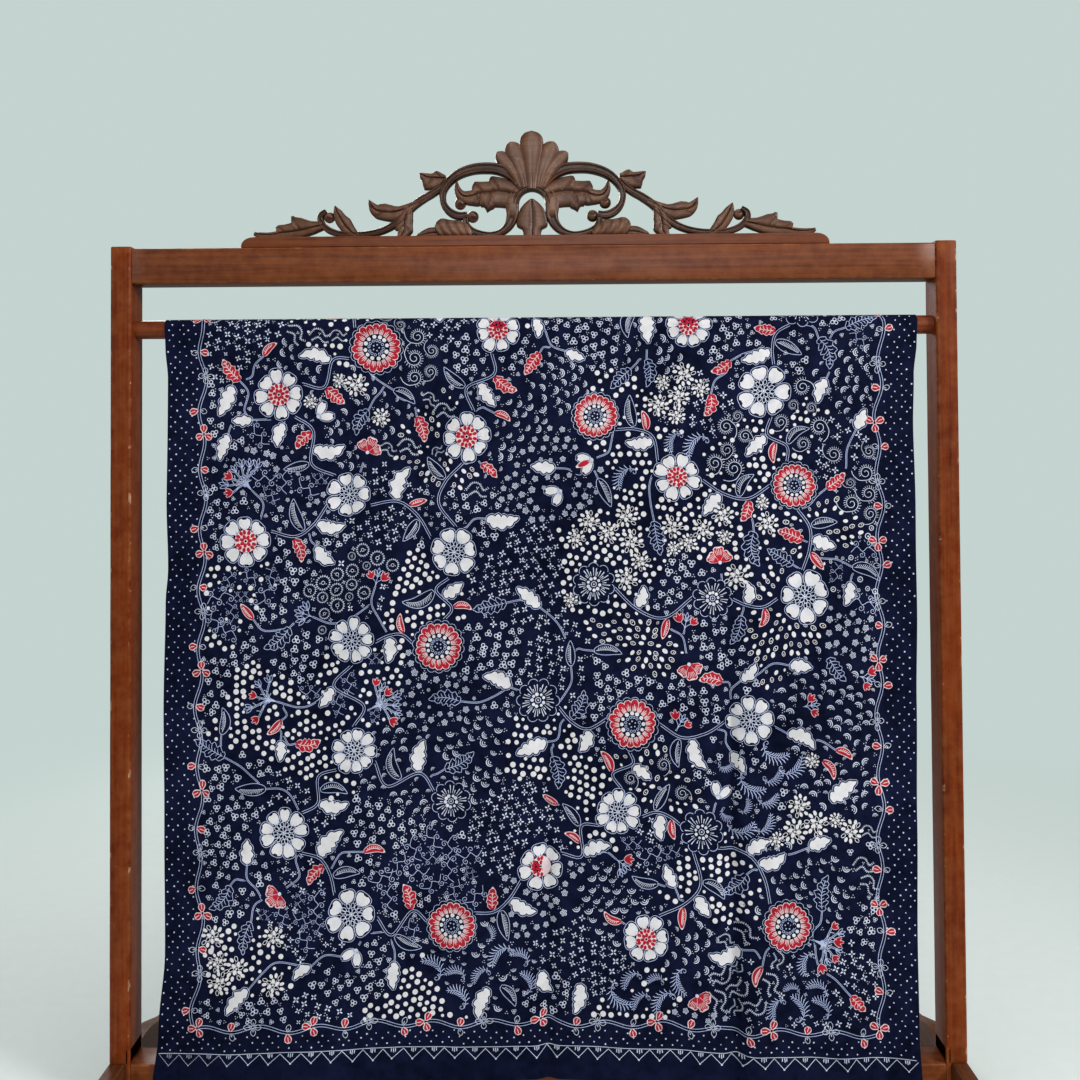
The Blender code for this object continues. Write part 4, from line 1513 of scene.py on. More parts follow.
def arc_part(centre: Sequence, radius: float, start: float, sweep: float, width: float,
             sides: int = 7) -> tuple:
    """A small arc, thinner towards its ends."""
    swell = np.sin(np.linspace(0.35, math.pi - 0.35, sides + 1))
    return band(round_path(centre, radius, start, sweep, sides), width * (0.45 + 0.55 * swell))


def stroke_part(start: Sequence, end: Sequence, width: float) -> tuple:
    """A short stroke, thinner towards its ends."""
    a, b = np.asarray(start, float), np.asarray(end, float)
    return band(np.array([a, (a + b) / 2, b]), np.array([0.6, 1.0, 0.5]) * width)


def three_dots(spread: float, radius: float) -> list:
    """Three tiny dots in a triangle."""
    return [blot(aim(k * TURN / 3 + 0.5) * spread, radius, 6) for k in range(3)]


def coil(radius: float, turns: float, start: float = 0.0, hand: int = 1, step: float = 2.4) -> np.ndarray:
    """A spiral from its rim to its middle.

    Args:
        radius: its radius.
        turns: how many turns it has.
        start: the angle of its outer end.
        hand: 1 or -1, for the way that it turns.
        step: about how far apart its points are.

    Returns:
        Its points.
    """
    sweep = TURN * turns
    t = np.linspace(0, 1, max(8, int(radius * sweep * 0.6 / step)))
    angle = start + hand * sweep * t
    return np.stack([np.cos(angle), np.sin(angle)], 1) * (radius * (1 - 0.82 * t))[:, None]


def ticked_coil() -> tuple:
    """A spiral with a fringe of short ticks round it.

    Returns:
        Its points and triangles.
    """
    radius, turns = 10.6, 1.7
    path = coil(radius, turns)
    parts = [band(path, 0.85)]
    for k in range(18):
        angle = 0.1 + k * 0.30
        reach = radius * (1 - 0.82 * (angle / (TURN * turns)))
        parts.append(stroke_part(aim(angle) * (reach + 1.0), aim(angle + 0.1) * (reach + 4.2), 0.8))
    tail = smooth([path[0], path[0] + (0.6, -9), path[0] + (-4.5, -17), path[0] + (-11.5, -21)], 3.2)
    return join_parts([*parts, band(tail, 0.85)])


def s_scroll() -> tuple:
    """Two round hooks of nested lines, joined into an S.

    Returns:
        Its points and triangles.
    """
    parts = []
    for hand, lean in ((1, 0.0), (-1, math.pi)):
        centre = np.array([2.0, 15.4]) * hand
        for radius, start, sweep in ((14.8, -2.0, 4.7), (10.8, -1.6, 4.2), (7.0, -1.2, 3.9),
                                     (3.3, -0.7, 4.2)):
            path = round_path(centre, radius, lean + start, sweep, max(6, int(radius * 1.25)))
            parts.append(band(centre + (path - centre) * np.linspace(1.0, 0.84, len(path))[:, None], 1.1))
        for k in range(4):
            angle = lean + 0.2 + 0.5 * k
            parts.append(stroke_part(centre + aim(angle) * 17.0, centre + aim(angle + 0.14) * 20.0, 1.1))
    waist = smooth([(-2.1, 2.8), (-8.2, -4.8), (-12.3, -14.2)], 3.4) + (0.8, 0.0)
    return join_parts([*parts, band(waist, 1.0), band(-waist, 1.0)])


def bead_ring() -> tuple:
    """A ring of short cross strokes on a fine line.

    Returns:
        Its points and triangles.
    """
    angles = [TURN * k / 19 for k in range(19)]
    beads = [stroke_part(aim(angle) * 7.4, aim(angle) * 10.3, 1.15) for angle in angles]
    middle = [ring_part((0, 0), 2.3, 0.8, 8), blot((4.2, 0), 0.7, 6), blot((-3.6, 2.2), 0.7, 6)]
    return join_parts([ring_part((0, 0), 8.8, 0.45, 16), *beads, *middle])


def bead_chain() -> tuple:
    """Two bent chains of short cross strokes on a fine line.

    Returns:
        Its points and triangles.
    """
    parts = []
    for path in (smooth([(-15, -4), (-8, 6), (2, 6), (9, -2), (15, 2)], 2.6),
                 smooth([(-10, -11), (-1, -5), (7, -11), (14, -10)], 2.6)):
        left = sideways(path) * 1.6
        parts += [band(path[::2], 0.45),
                  *(stroke_part(at - out, at + out, 1.0) for at, out in zip(path, left))]
    return join_parts(parts + three_dots(1.4, 0.75))


def plume() -> tuple:
    """A curved plume of strokes on both sides of a stem.

    Returns:
        Its points and triangles.
    """
    spine = smooth([(-19, -9), (-10, 1), (1, 5), (12.5, 2.5), (19, -6)], 5.4)
    left = sideways(spine)
    ahead = left[:, ::-1] * (1, -1)
    parts = [band(spine, 0.85)]
    for k in range(1, len(spine) - 1):
        swell = math.sin(math.pi * k / (len(spine) - 1)) ** 0.7
        for side, reach in ((1, 8.6 * swell), (-1, 6.0 * swell)):
            root = spine[k] + left[k] * side * 0.9
            tip = root + left[k] * side * reach - ahead[k] * reach * 0.7
            bent = (root + tip) / 2 - ahead[k] * 0.12 * reach
            parts.append(band(np.array([root, bent, tip]), np.array([0.8, 1.2, 0.6])))
    hook = coil(5.0, 1.1, 2.2, -1) + spine[-1] + np.array([-4.2, -2.0])
    return join_parts([*parts, band(hook, 0.75)])


def grain_spray() -> tuple:
    """Rice-shaped grains, solid and hollow by turns, in two rings round a knot of short stalks.

    Returns:
        Its points and triangles.
    """
    parts = [blot((0, 0), 1.5, 7)]
    for ring, (count, reach) in enumerate(((6, 6.2), (11, 13.2))):
        for k in range(count):
            angle = TURN * (k + 0.4 * ring) / count + 0.08 * math.sin(k * 4.1)
            spot = aim(angle) * (reach + 0.9 * math.sin(k * 2.7 + ring))
            if (k + ring) % 3:
                parts.append(blot(spot, 2.35, 10, 1.5, angle + 0.25))
            else:
                parts.append(band(blot(spot, 2.2, 10, 1.6, angle + 0.25)[0][1:], 0.8, True))
            if ring == 0:
                parts.append(stroke_part(aim(angle + 0.4) * 2.2, aim(angle + 0.55) * 8.6, 0.7))
    return join_parts(parts)


def tendril() -> tuple:
    """A wandering twig with a small spiral at each bend.

    Returns:
        Its points and triangles.
    """
    parts = [band(smooth([(-17, -5), (-9, 3), (-1, -3), (7, 3), (16, -2)], 2.8), 0.7)]
    for x, y, start, hand in ((-11, 6.6, -1.2, 1), (-1.5, -7.6, 1.6, -1), (7.5, 7.8, -1.4, 1),
                              (15, -7.0, 1.4, -1)):
        parts.append(band(coil(4.8, 1.3, start, hand, 2.2) + (x, y), 0.7))
        parts.append(stroke_part((x + 5.0, y + hand * 2.5), (x + 6.6, y + hand * 5.0), 0.8))
        parts.append(stroke_part((x - 5.2, y + hand * 2.0), (x - 7.0, y + hand * 4.4), 0.8))
    return join_parts(parts)


CLOVER = join_parts([ring_part(aim(k * TURN / 3 + 0.52) * 2.85, 2.2, 1.0) for k in range(3)])
CRESCENT = join_parts([
    arc_part((0, 0), 5.0, 3.25, 3.2, 1.3, 8), arc_part((0.3, 0), 2.8, 3.2, 3.1, 1.15, 5),
    blot((0.3, 0.4), 0.85, 6),
])
CROSS = join_parts([blot(aim(k * TURN / 4) * 2.75, 1.0, 8, 1.9, k * TURN / 4) for k in range(4)])
PEARL = blot((0, 0), 3.6, 11)
GRAIN = blot((0, 0), 2.7, 11, 1.45)
HOLLOW_GRAIN = join_parts([
    band(round_path((0, 0), 2.5, sides=11) * (1.5, 1.0), 0.95, True), blot((0.5, 0), 0.7, 6, 1.6),
])
FLORET = join_parts([*(ring_part(aim(k * TURN / 5) * 2.9, 1.25, 0.85, 7) for k in range(5)),
                     blot((0, 0), 0.8, 6)])
EYELET = join_parts([ring_part((0, 0), 3.4, 1.1, 12), blot((0.4, -0.3), 1.1, 7)])
TRIPLE = join_parts(three_dots(1.95, 0.72))


@dataclass(frozen=True)
class Filling:
    """A ground of marks on a staggered grid.

    pitch is the distance between them, reach the room that each needs, share how often the filling is
    chosen, and turn how far a mark may turn. between says whether tiny dots stand between them.
    """

    marks: tuple
    pitch: float
    reach: float
    share: float
    turn: float = 1.3
    ink: Ink = Ink.MARKS
    jitter: float = 0.16
    between: bool = False


FILLINGS = (
    Filling((CLOVER,), 16.0, 6.4, 0.27, 0.9, between=True),
    Filling((CRESCENT,), 16.5, 6.2, 0.22, 0.55, between=True),
    Filling((CROSS,), 15.0, 5.8, 0.16, 0.35, between=True),
    Filling((PEARL,), 11.6, 4.8, 0.17, 3.0, Ink.CREAM),
    Filling((GRAIN, HOLLOW_GRAIN), 12.0, 5.2, 0.08, 0.5, Ink.CREAM),
    Filling((FLORET,), 15.5, 5.6, 0.05, 1.0, between=True),
    Filling((EYELET,), 13.5, 5.2, 0.05, 1.5, between=True),
)
ORNAMENTS = (
    Filling((s_scroll(),), 38.0, 20.5, 0.20, jitter=0.10),
    Filling((ticked_coil(),), 28.0, 13.5, 0.16, jitter=0.10),
    Filling((bead_ring(),), 21.0, 10.5, 0.14, jitter=0.10),
    Filling((bead_chain(),), 27.0, 13.5, 0.12, jitter=0.10),
    Filling((plume(),), 33.0, 16.5, 0.12, ink=Ink.BLUE, jitter=0.10),
    Filling((grain_spray(),), 31.0, 15.5, 0.15, ink=Ink.CREAM, jitter=0.10),
    Filling((tendril(),), 29.0, 14.0, 0.13, ink=Ink.BLUE, jitter=0.10),
)


# The composition of the whole cloth

class Bloom(Enum):
    """The kinds of round flower."""

    RED_HEART = 1
    BLUE_HEART = 2
    ASTER = 3
    ROSETTE = 4


BLOOMS = (
    Bloom.RED_HEART, Bloom.BLUE_HEART, Bloom.ASTER, Bloom.ROSETTE, Bloom.BLUE_HEART,
    Bloom.RED_HEART, Bloom.ASTER, Bloom.BLUE_HEART, Bloom.ROSETTE, Bloom.BLUE_HEART,
)
STEM_LEAVES = (
    LeafKind.RED_LOBED, LeafKind.WHITE_LOBED, LeafKind.BLUE_HATCHED, LeafKind.RED_PLAIN,
    LeafKind.WHITE_BROAD, LeafKind.BLUE_FEATHER, LeafKind.WHITE_LOBED, LeafKind.BLUE_HATCHED,
)


class Shoot(Enum):
    """What ends a side shoot: the room that it needs, and the kinds of leaf that it may be."""

    CARNATION = (29.0, ())
    SPRAY = (30.0, ())
    TULIP = (20.0, ())
    BUD = (13.0, ())
    RED_LEAF = (17.0, (LeafKind.RED_LOBED, LeafKind.RED_PLAIN))
    WHITE_LEAF = (18.0, (LeafKind.WHITE_LOBED, LeafKind.WHITE_BROAD))
    BLUE_LEAF = (18.0, (LeafKind.BLUE_HATCHED, LeafKind.BLUE_FEATHER))


@dataclass
class Composition:
    """The whole ornament: a flowering tangle of stems over a ground of many small fillings."""

    seed: int = 41
    flower_count: int = 58
    spacing_tries: int = 70
    patch_count: int = 170
    ornament_share: float = 0.36
    flower_inset: tuple = (102.0, 128.0)
    patch_inset: tuple = (20.0, 20.0)
    patch_reach: float = 130.0
    shoot_tries: int = 140
    shoot_low: tuple = (66.0, 92.0)
    shoot_high: tuple = (984.0, 2008.0)
    longest_shoot: float = 110.0
    border: Border = field(default_factory=Border)
    rng: np.random.Generator = field(init=False)
    sheet: Drawing = field(init=False)
    flowers: list = field(init=False, default_factory=list)
    twigs: list = field(init=False, default_factory=list)

    def __post_init__(self) -> None:
        """Starts with an empty cloth."""
        self.rng = np.random.default_rng(self.seed)
        self.sheet = Drawing(Ground(), self.rng)

    def draw(self) -> Drawing:
        """Draws everything, from the border to the smallest fillings.

        Returns:
            The finished drawing.
        """
        self.border.draw(self.sheet)
        self._flowers()
        self._stems()
        self._stem_leaves()
        self._side_shoots()
        self._ground()
        return self.sheet

    def _spread(self, count: int, inset: tuple) -> np.ndarray:
        """Spreads points over the field, each as far as can be from the ones before it.

        Args:
            count: how many.
            inset: how far they stay from the side edges and from the hems.

        Returns:
            The points.
        """
        low = np.array(inset)
        high = np.array([self.border.wide, self.border.tall]) - low
        found = [self.rng.uniform(low, high)]
        while len(found) < count:
            tries = self.rng.uniform(low, high, (self.spacing_tries, 2))
            gaps = np.linalg.norm(tries[:, None, :] - np.array(found)[None, :, :], axis=2).min(axis=1)
            edge = np.minimum(tries - low, high - tries).min(axis=1) * 1.2 + 60
            found.append(tries[np.argmax(np.minimum(gaps, edge))])
        return np.array(found)

    def _flowers(self) -> None:
        """Sets the flowers, each kind spread over the whole cloth."""
        for k, at in enumerate(self._spread(self.flower_count, self.flower_inset)):
            turn, size = self.rng.uniform(0, TURN), self.rng.uniform(0.9, 1.08)
            kind = BLOOMS[k % len(BLOOMS)]
            if kind is Bloom.ROSETTE:
                flower = RedRosette(31.0 * size, int(self.rng.integers(18, 21)))
            elif kind is Bloom.ASTER:
                flower = FineAster(25.0 * size, int(self.rng.integers(26, 36)), bool(k % 2))
            else:
                heart = Heart.RED_STIPPLE if kind is Bloom.RED_HEART else Heart.BLUE_NET
                flower = WhiteFlower(32.0 * size, heart, int(self.rng.integers(7, 10)))
            flower.draw(self.sheet, at, turn)
            self.flowers.append((at, flower.radius))

    def _links(self) -> list:
        """Pairs up flowers, so that all hang together by the shortest ways.

        Returns:
            The pairs, as flower numbers.
        """
        centres = np.array([at for at, _ in self.flowers])
        joined, links = {0}, []
        while len(joined) < len(centres):
            inside, outside = sorted(joined), sorted(set(range(len(centres))) - joined)
            gaps = np.linalg.norm(centres[inside][:, None, :] - centres[outside][None, :, :], axis=2)
            a, b = np.unravel_index(np.argmin(gaps), gaps.shape)
            links.append((inside[a], outside[b]))
            joined.add(outside[b])
        return links

    def _stems(self) -> None:
        """Links the flowers with bowed stems of two fine lines."""
        for a, b in self._links():
            (start, near), (end, far) = self.flowers[a], self.flowers[b]
            length = np.linalg.norm(end - start)
            way = (end - start) / length
            aside = np.array([-way[1], way[0]]) * self.rng.choice((-1, 1))
            bow = (length - near - far) * self.rng.uniform(0.16, 0.30)
            second = bow * self.rng.choice((-0.6, 0.8))
            foot, span = near + 2.5, length - near - far - 5
            knots = [
                start + way * foot,
                start + way * (foot + span * 0.33) + aside * bow,
                start + way * (foot + span * 0.67) + aside * second,
                end - way * (far + 2.5),
            ]
            self._twig(smooth(knots), 1.45, 3.2)

    def _twig(self, path: np.ndarray, gap: float, reach: float) -> None:
        """Draws a stem of two lines and claims its place.

        Args:
            path: its points.
            gap: how far each line lies from its middle.
            reach: how far its place reaches from its middle.
        """
        left = sideways(path)
        for offset in (gap, -gap):
            self.sheet.broken_line(path + left * offset, 0.65, Ink.BLUE, 0.5)
        self.sheet.ground.claim(path[1:-1], reach)
        self.twigs.append(path)

    def _stem_leaves(self) -> None:
        """Sets leaves along the stems, on whichever side has room."""
        number = 0
        for share in (0.34, 0.7, 0.5):
            for path in self.twigs:
                k = int(share * (len(path) - 1))
                ahead = path[min(k + 1, len(path) - 1)] - path[max(k - 1, 0)]
                way, side = math.atan2(ahead[1], ahead[0]), self.rng.choice((-1, 1))
                kind = STEM_LEAVES[number % len(STEM_LEAVES)]
                number += 1
                for lean in (0.9, -0.9, 1.3, -1.3, 2.0, -2.0):
                    if self._stem_leaf(kind, path[k], way + lean * side):
                        break

    def _stem_leaf(self, kind: LeafKind, root: np.ndarray, angle: float) -> bool:
        """Draws one leaf if there is room for it.

        Args:
            kind: the kind of leaf.
            root: the point that it grows from.
            angle: the direction that it points in.

        Returns:
            Whether it was drawn.
        """
        leaf = Leaf(kind, kind.value[1] * self.rng.uniform(0.88, 1.14), self.rng.uniform(-0.38, 0.38))
        at = root + aim(angle) * 4.0
        is_open = leaf.fits(self.sheet.ground, at, angle)
        if is_open:
            leaf.draw(self.sheet, at, angle)
        return is_open

    def _side_shoots(self) -> None:
        """Grows shoots from the stems into the open ground, with a leaf, a bud or a spray on each."""
        plans = [Shoot.CARNATION] * 8 + [Shoot.SPRAY] * 12 + [Shoot.TULIP] * 12 + [Shoot.BUD] * 10
        plans += [Shoot.RED_LEAF, Shoot.WHITE_LEAF, Shoot.BLUE_LEAF, Shoot.WHITE_LEAF, Shoot.BLUE_LEAF] * 34
        for number, plan in enumerate(plans):
            room = plan.value[0]
            at = self._open_place(room)
            if at is None:
                continue
            knots = np.vstack(self.twigs)
            gaps = np.linalg.norm(knots - at, axis=1)
            root, gap = knots[np.argmin(gaps)], gaps.min()
            angle = math.atan2(*(at - root)[::-1]) + self.rng.uniform(-0.5, 0.5)
            foot = at - aim(angle) * room * 0.8
            if gap < self.longest_shoot:
                bend = aim(angle + 1.57) * self.rng.uniform(-0.16, 0.16) * gap
                last = foot - aim(angle) * gap * 0.3
                self._twig(smooth([root, (root + last) / 2 + bend, last, foot]), 0.8, 2.4)
            motif, back = self._shoot_end(plan, bool(number % 2))
            motif.draw(self.sheet, foot if back is None else at - aim(angle) * back, angle)

    def _open_place(self, room: float) -> np.ndarray | None:
        """Looks for a free place in the field.

        Args:
            room: how far all else must lie from it.

        Returns:
            The place, if one was found.
        """
        for _ in range(self.shoot_tries):
            at = self.rng.uniform(self.shoot_low, self.shoot_high)
            if self.sheet.ground.is_free(at, room):
                return at
        return None

    def _shoot_end(self, plan: Shoot, odd: bool) -> tuple[Motif, float | None]:
        """Makes what ends a side shoot.

        Args:
            plan: what it is.
            odd: whether the shoot's number is odd.

        Returns:
            The motif, and how far before the middle of its place it starts, or None if that is the shoot's end.
        """
        if plan is Shoot.CARNATION:
            return RedCarnation(20.0), 8.0
        if plan is Shoot.TULIP:
            return TulipBud(24.0, odd), 11.0
        if plan is Shoot.SPRAY:
            return BudSpray(33.0, int(self.rng.choice((5, 7)))), None
        if plan is Shoot.BUD:
            return BudSpray(13.0), None
        kind = plan.value[1][int(self.rng.integers(0, 2))]
        return Leaf(kind, kind.value[1] * self.rng.uniform(0.85, 1.1), self.rng.uniform(-0.4, 0.4)), None

    def _ground(self) -> None:
        """Fills all that is left, patch by patch: first the larger ornaments, then the small marks."""
        seeds = self._spread(self.patch_count, self.patch_inset)
        angles = self.rng.uniform(0, TURN, self.patch_count)
        chances = np.array([filling.share for filling in FILLINGS])
        kinds = self.rng.choice(len(FILLINGS), self.patch_count, p=chances / chances.sum())
        ornate = self.rng.random(self.patch_count) < self.ornament_share
        for patch in np.flatnonzero(ornate):
            self._ornaments(seeds, patch, angles[patch])
        clear = self.sheet.ground.clearance()
        marked = Ground()
        for patch in range(self.patch_count):
            self._small_marks(seeds, patch, angles[patch], FILLINGS[kinds[patch]], clear, marked)

    def _patch_grid(self, seeds: np.ndarray, patch: int, angle: float, filling: Filling) -> np.ndarray:
        """Spaces out the marks of one patch: a staggered grid, turned and bent a little.

        Args:
            seeds: the middles of all patches.
            patch: the patch's number.
            angle: the angle that its rows run at.
            filling: what it is filled with.

        Returns:
            The points.
        """
        reach = np.arange(-self.patch_reach, self.patch_reach, filling.pitch)
        x, y = np.meshgrid(reach, reach * 0.87)
        x = x + (np.arange(x.shape[0]) % 2)[:, None] * filling.pitch / 2
        spots = np.stack([x.ravel(), y.ravel()], 1)
        spots = spots + 3.5 * np.sin(spots[:, ::-1] / 23.0 + angle)
        spots = spots + self.rng.uniform(-filling.jitter, filling.jitter, spots.shape) * filling.pitch
        spots = spots @ spin(angle) + seeds[patch]
        wavy = spots + 9.0 * np.sin(spots[:, ::-1] / 31.0)
        nearest = np.argmin(np.linalg.norm(wavy[:, None, :] - seeds[None, :, :], axis=2), axis=1)
        return spots[(nearest == patch) & self.border.in_field(spots)]

    def _ornaments(self, seeds: np.ndarray, patch: int, angle: float) -> None:
        """Sets larger marks in one patch, where there is room.

        Args:
            seeds: the middles of all patches.
            patch: the patch's number.
            angle: the angle that its rows run at.
        """
        chances = np.array([ornament.share for ornament in ORNAMENTS])
        ornament = ORNAMENTS[self.rng.choice(len(ORNAMENTS), p=chances / chances.sum())]
        for spot in self._patch_grid(seeds, patch, angle, ornament):
            for shrink in (1.0, 0.8, 0.62):
                if self.sheet.ground.is_free(spot, ornament.reach * shrink):
                    turn = angle + self.rng.uniform(-ornament.turn, ornament.turn)
                    size = shrink * self.rng.uniform(0.92, 1.06)
                    self.sheet.stamps(ornament.marks[0], spot[None, :], [turn], np.array([size]),
                                      ornament.ink)
                    self.sheet.ground.claim(spot, ornament.reach * shrink)
                    break

    def _small_marks(self, seeds: np.ndarray, patch: int, angle: float, filling: Filling, clear: np.ndarray,
                     marked: Ground) -> None:
        """Sets the small marks of one patch, smaller where there is less room.

        Args:
            seeds: the middles of all patches.
            patch: the patch's number.
            angle: the angle that its rows run at.
            filling: what it is filled with.
            clear: the room round each cell.
            marked: where other patches have their marks.
        """
        rng, ground = self.rng, self.sheet.ground
        spots = self._patch_grid(seeds, patch, angle, filling)
        spots = spots[~ground.look_up(marked.taken, spots)]
        room = ground.look_up(clear, spots)
        whole = room >= filling.reach
        squeezed = (room >= filling.reach * 0.6) & ~whole
        marked.claim(spots[whole], filling.reach * 1.75)
        marked.claim(spots[squeezed], filling.reach * 1.3)
        for group, size in ((whole, 1.0), (squeezed, 0.64)):
            for k, mark in enumerate(filling.marks):
                places = spots[group][k::len(filling.marks)]
                turns = angle + rng.uniform(-filling.turn, filling.turn, len(places))
                if len(filling.marks) > 1:
                    away = places - seeds[patch]
                    turns = np.arctan2(away[:, 1], away[:, 0]) + rng.uniform(-0.4, 0.4, len(places))
                sizes = size * rng.uniform(0.84, 1.12, len(places))
                self.sheet.stamps(mark, places, turns, sizes, filling.ink)
        if filling.between:
            gaps = spots + filling.pitch * np.array([0.5, 0.29]) @ spin(angle)
            gaps = gaps[(ground.look_up(clear, gaps) >= 3.0) & (rng.random(len(gaps)) < 0.7)]
            turns, sizes = rng.uniform(0, TURN, len(gaps)), rng.uniform(0.8, 1.1, len(gaps))
            self.sheet.stamps(TRIPLE, gaps, turns, sizes, Ink.MARKS)


@dataclass
class BatikPrint:
    """Lays the drawing on the hanging cloth, one piece for each ink on each half."""

    cloth: HangingCloth
    sheet: Drawing

    def build(self, finishes: dict) -> list:
        """Builds the pieces.

        Args:
            finishes: a material for each ink.

        Returns:
            The pieces.
        """
        pieces = []
        size = (self.sheet.ground.wide, self.sheet.ground.tall)
        for ink in Ink:
            flat, triangles, lift = join_parts(self.sheet.parts[ink])
            middle = flat[triangles].mean(axis=1)
            inside = ((middle > 1) & (middle < np.array(size) - 1)).all(axis=1)
            front = middle[:, 1] <= size[1] / 2
            for side, chosen in (("front", front), ("back", ~front)):
                used, kept = np.unique(triangles[chosen & inside], return_inverse=True)
                name = f"{ink.value}_{side}"
                pieces.append(self._half(name, flat[used], kept.reshape(-1, 3), lift[used], finishes[ink]))
        return pieces

    def _half(self, name: str, flat: np.ndarray, triangles: np.ndarray, lift: np.ndarray,
              finish: bpy.types.Material) -> bpy.types.Object:
        """Builds one ink's shapes on one half of the cloth.

        Args:
            name: the piece's name.
            flat: the points of its shapes.
            triangles: their triangles.
            lift: metres that each point lies off the cloth.
            finish: the ink's material.

        Returns:
            The piece.
        """
        a, b, c = (flat[triangles[:, k]] for k in range(3))
        area = (b[:, 0] - a[:, 0]) * (c[:, 1] - a[:, 1]) - (b[:, 1] - a[:, 1]) * (c[:, 0] - a[:, 0])
        triangles[area < 0] = triangles[area < 0][:, ::-1]
        points, out = self.cloth.lay(flat, lift)
        piece = make_piece(name, points, triangles, finish, "batik_cotton")
        piece.data.shade_smooth()
        piece.data.normals_split_custom_set_from_vertices(out.tolist())
        bake = piece.data.uv_layers.new(name="OFBake")
        loops = np.empty(len(piece.data.loops), np.int32)
        piece.data.loops.foreach_get("vertex_index", loops)
        low = flat.min(axis=0)
        bake.data.foreach_set("uv",
                              ((flat - low) / (flat.max(axis=0) - low))[loops].astype(np.float32).ravel())
        return piece


# The rack

@dataclass
class Rack:
    """The wooden frame: posts, rails, rod, feet, the strip under the crest and the bolt heads."""

    post_round: float = 0.0036
    rail_round: float = 0.0022
    cheek_round: float = 0.0016
    foot_bevel: float = 0.0016
    strip_bevel: float = 0.0018
    ring_step: float = 0.03
    deepest_dent: float = 0.00025
    foot_top: float = 0.060
    foot_thickness: float = 0.022
    cheek_overlap: float = 0.02
    seam: float = 0.0003
    rod_sides: int = 56
    bolt_sides: int = 24
    bolt_profile: tuple = ((0.0, 1.0), (0.35, 1.0), (0.62, 0.94), (0.86, 0.72), (1.0, 0.0))

    def _bar(self, low: Vector, high: Vector, axis: int, corner: float, seed: int) -> tuple:
        """Builds a long bar with rounded, slightly worn edges.

        Args:
            low: its lowest corner.
            high: its highest corner.
            axis: the axis that it runs along.
            corner: the radius of its edges.
            seed: picks its own unevenness.

        Returns:
            Its points, faces and wear.
        """
        low, high = np.array(low), np.array(high)
        aside = [k for k in range(3) if k != axis]
        half, centre = (high - low)[aside] / 2, (high + low)[aside] / 2
        quarter, step = np.divmod(np.arange(24), 6)
        angle = np.radians(90 * quarter + 18 * step)
        signs = np.array(((1, 1), (-1, 1), (-1, -1), (1, -1)))[quarter]
        ring = signs * (half - corner) + corner * np.stack([np.cos(angle), np.sin(angle)], 1)
        worn = np.where((step >= 1) & (step <= 4), 1.0, 0.35)
        start, end = low[axis], high[axis]
        rows = max(3, int((end - start) / self.ring_step))
        places = np.concatenate([[start], np.linspace(start + 0.0012, end - 0.0012, rows), [end]])
        rng = np.random.default_rng(seed)
        drawn_in = rng.uniform(0.0, self.deepest_dent, (len(places), len(ring))) * (worn > 0.9)
        drawn_in[[0, -1]] += 0.0009
        points = np.zeros((len(places), len(ring), 3))
        points[:, :, aside] = centre + ring * (1 - drawn_in / np.linalg.norm(ring, axis=1))[:, :, None]
        points[:, :, axis] = places[:, None]
        wear_and_shade = np.tile(worn, (len(places), 1))
        wear_and_shade[[0, 1, -2, -1]] = np.maximum(wear_and_shade[[0, 1, -2, -1]], 0.8)
        return *tube(points), wear_and_shade.ravel()

    def posts(self, finish: bpy.types.Material) -> None:
        """Builds the two posts, each with the thin cheek beside its foot.

        Args:
            finish: the posts' material.
        """
        for number, (side, outward) in enumerate((("left", -1), ("right", 1))):
            low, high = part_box(f"post_{side}")
            floor, cheek_low, cheek_high = Vector(low), Vector(low), Vector(high)
            floor.z = self.foot_top + self.seam
            cheek_high.z = floor.z + self.cheek_overlap
            inner = cheek_low if outward < 0 else cheek_high
            inner.x -= outward * (self.foot_thickness + self.seam)
            points, faces, wear_and_shade = join_solids([
                self._bar(floor, high, 2, self.post_round, 3 + number),
                self._bar(cheek_low, cheek_high, 2, self.cheek_round, 7 + number),
            ])
            name = f"post_{side}"
            face_outwards(make_piece(f"dressed_{name}", points, faces, finish, "red_brown_wood", (name,),
                                     wear_and_shade))

    def rails(self, finish: bpy.types.Material) -> None:
        """Builds the two rails.

        Args:
            finish: the rails' material.
        """
        for number, name in enumerate(("top_rail", "bottom_rail")):
            points, faces, wear_and_shade = self._bar(*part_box(name), 0, self.rail_round, 11 + number)
            face_outwards(make_piece(f"dressed_{name}", points, faces, finish, "red_brown_wood", (name,),
                                     wear_and_shade))

    def rod(self, finish: bpy.types.Material) -> None:
        """Builds the round rod, a little uneven as turned wood is.

        Args:
            finish: the rod's material.
        """
        low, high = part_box("hanging_rod")
        radius, centre = (high.z - low.z) / 2, (high.z + low.z) / 2
        places = np.linspace(low.x, high.x, 40)[:, None]
        angle = TURN * np.arange(self.rod_sides) / self.rod_sides
        reach = radius * (1 - 0.012 * (1 + np.sin(places * 9.0)) / 2)
        rings = np.stack([places + 0 * angle, reach * np.cos(angle), centre + reach * np.sin(angle)], -1)
        points, faces = tube(rings)
        wear_and_shade = np.full(len(points), 0.3)
        face_outwards(make_piece("dressed_rod", points, faces, finish, "rod_wood", ("hanging_rod",), wear_and_shade))

    def feet(self, finish: bpy.types.Material) -> None:
        """Builds the two feet."""
        for name in ("foot_left", "foot_right"):
            self._rounded_copy(name, f"dressed_{name}", finish, "dark_wood", self.foot_bevel)

    def strip(self, finish: bpy.types.Material) -> None:
        """Builds the strip under the crest."""
        self._rounded_copy("crest_moulding", "dressed_moulding", finish, "red_brown_wood", self.strip_bevel)

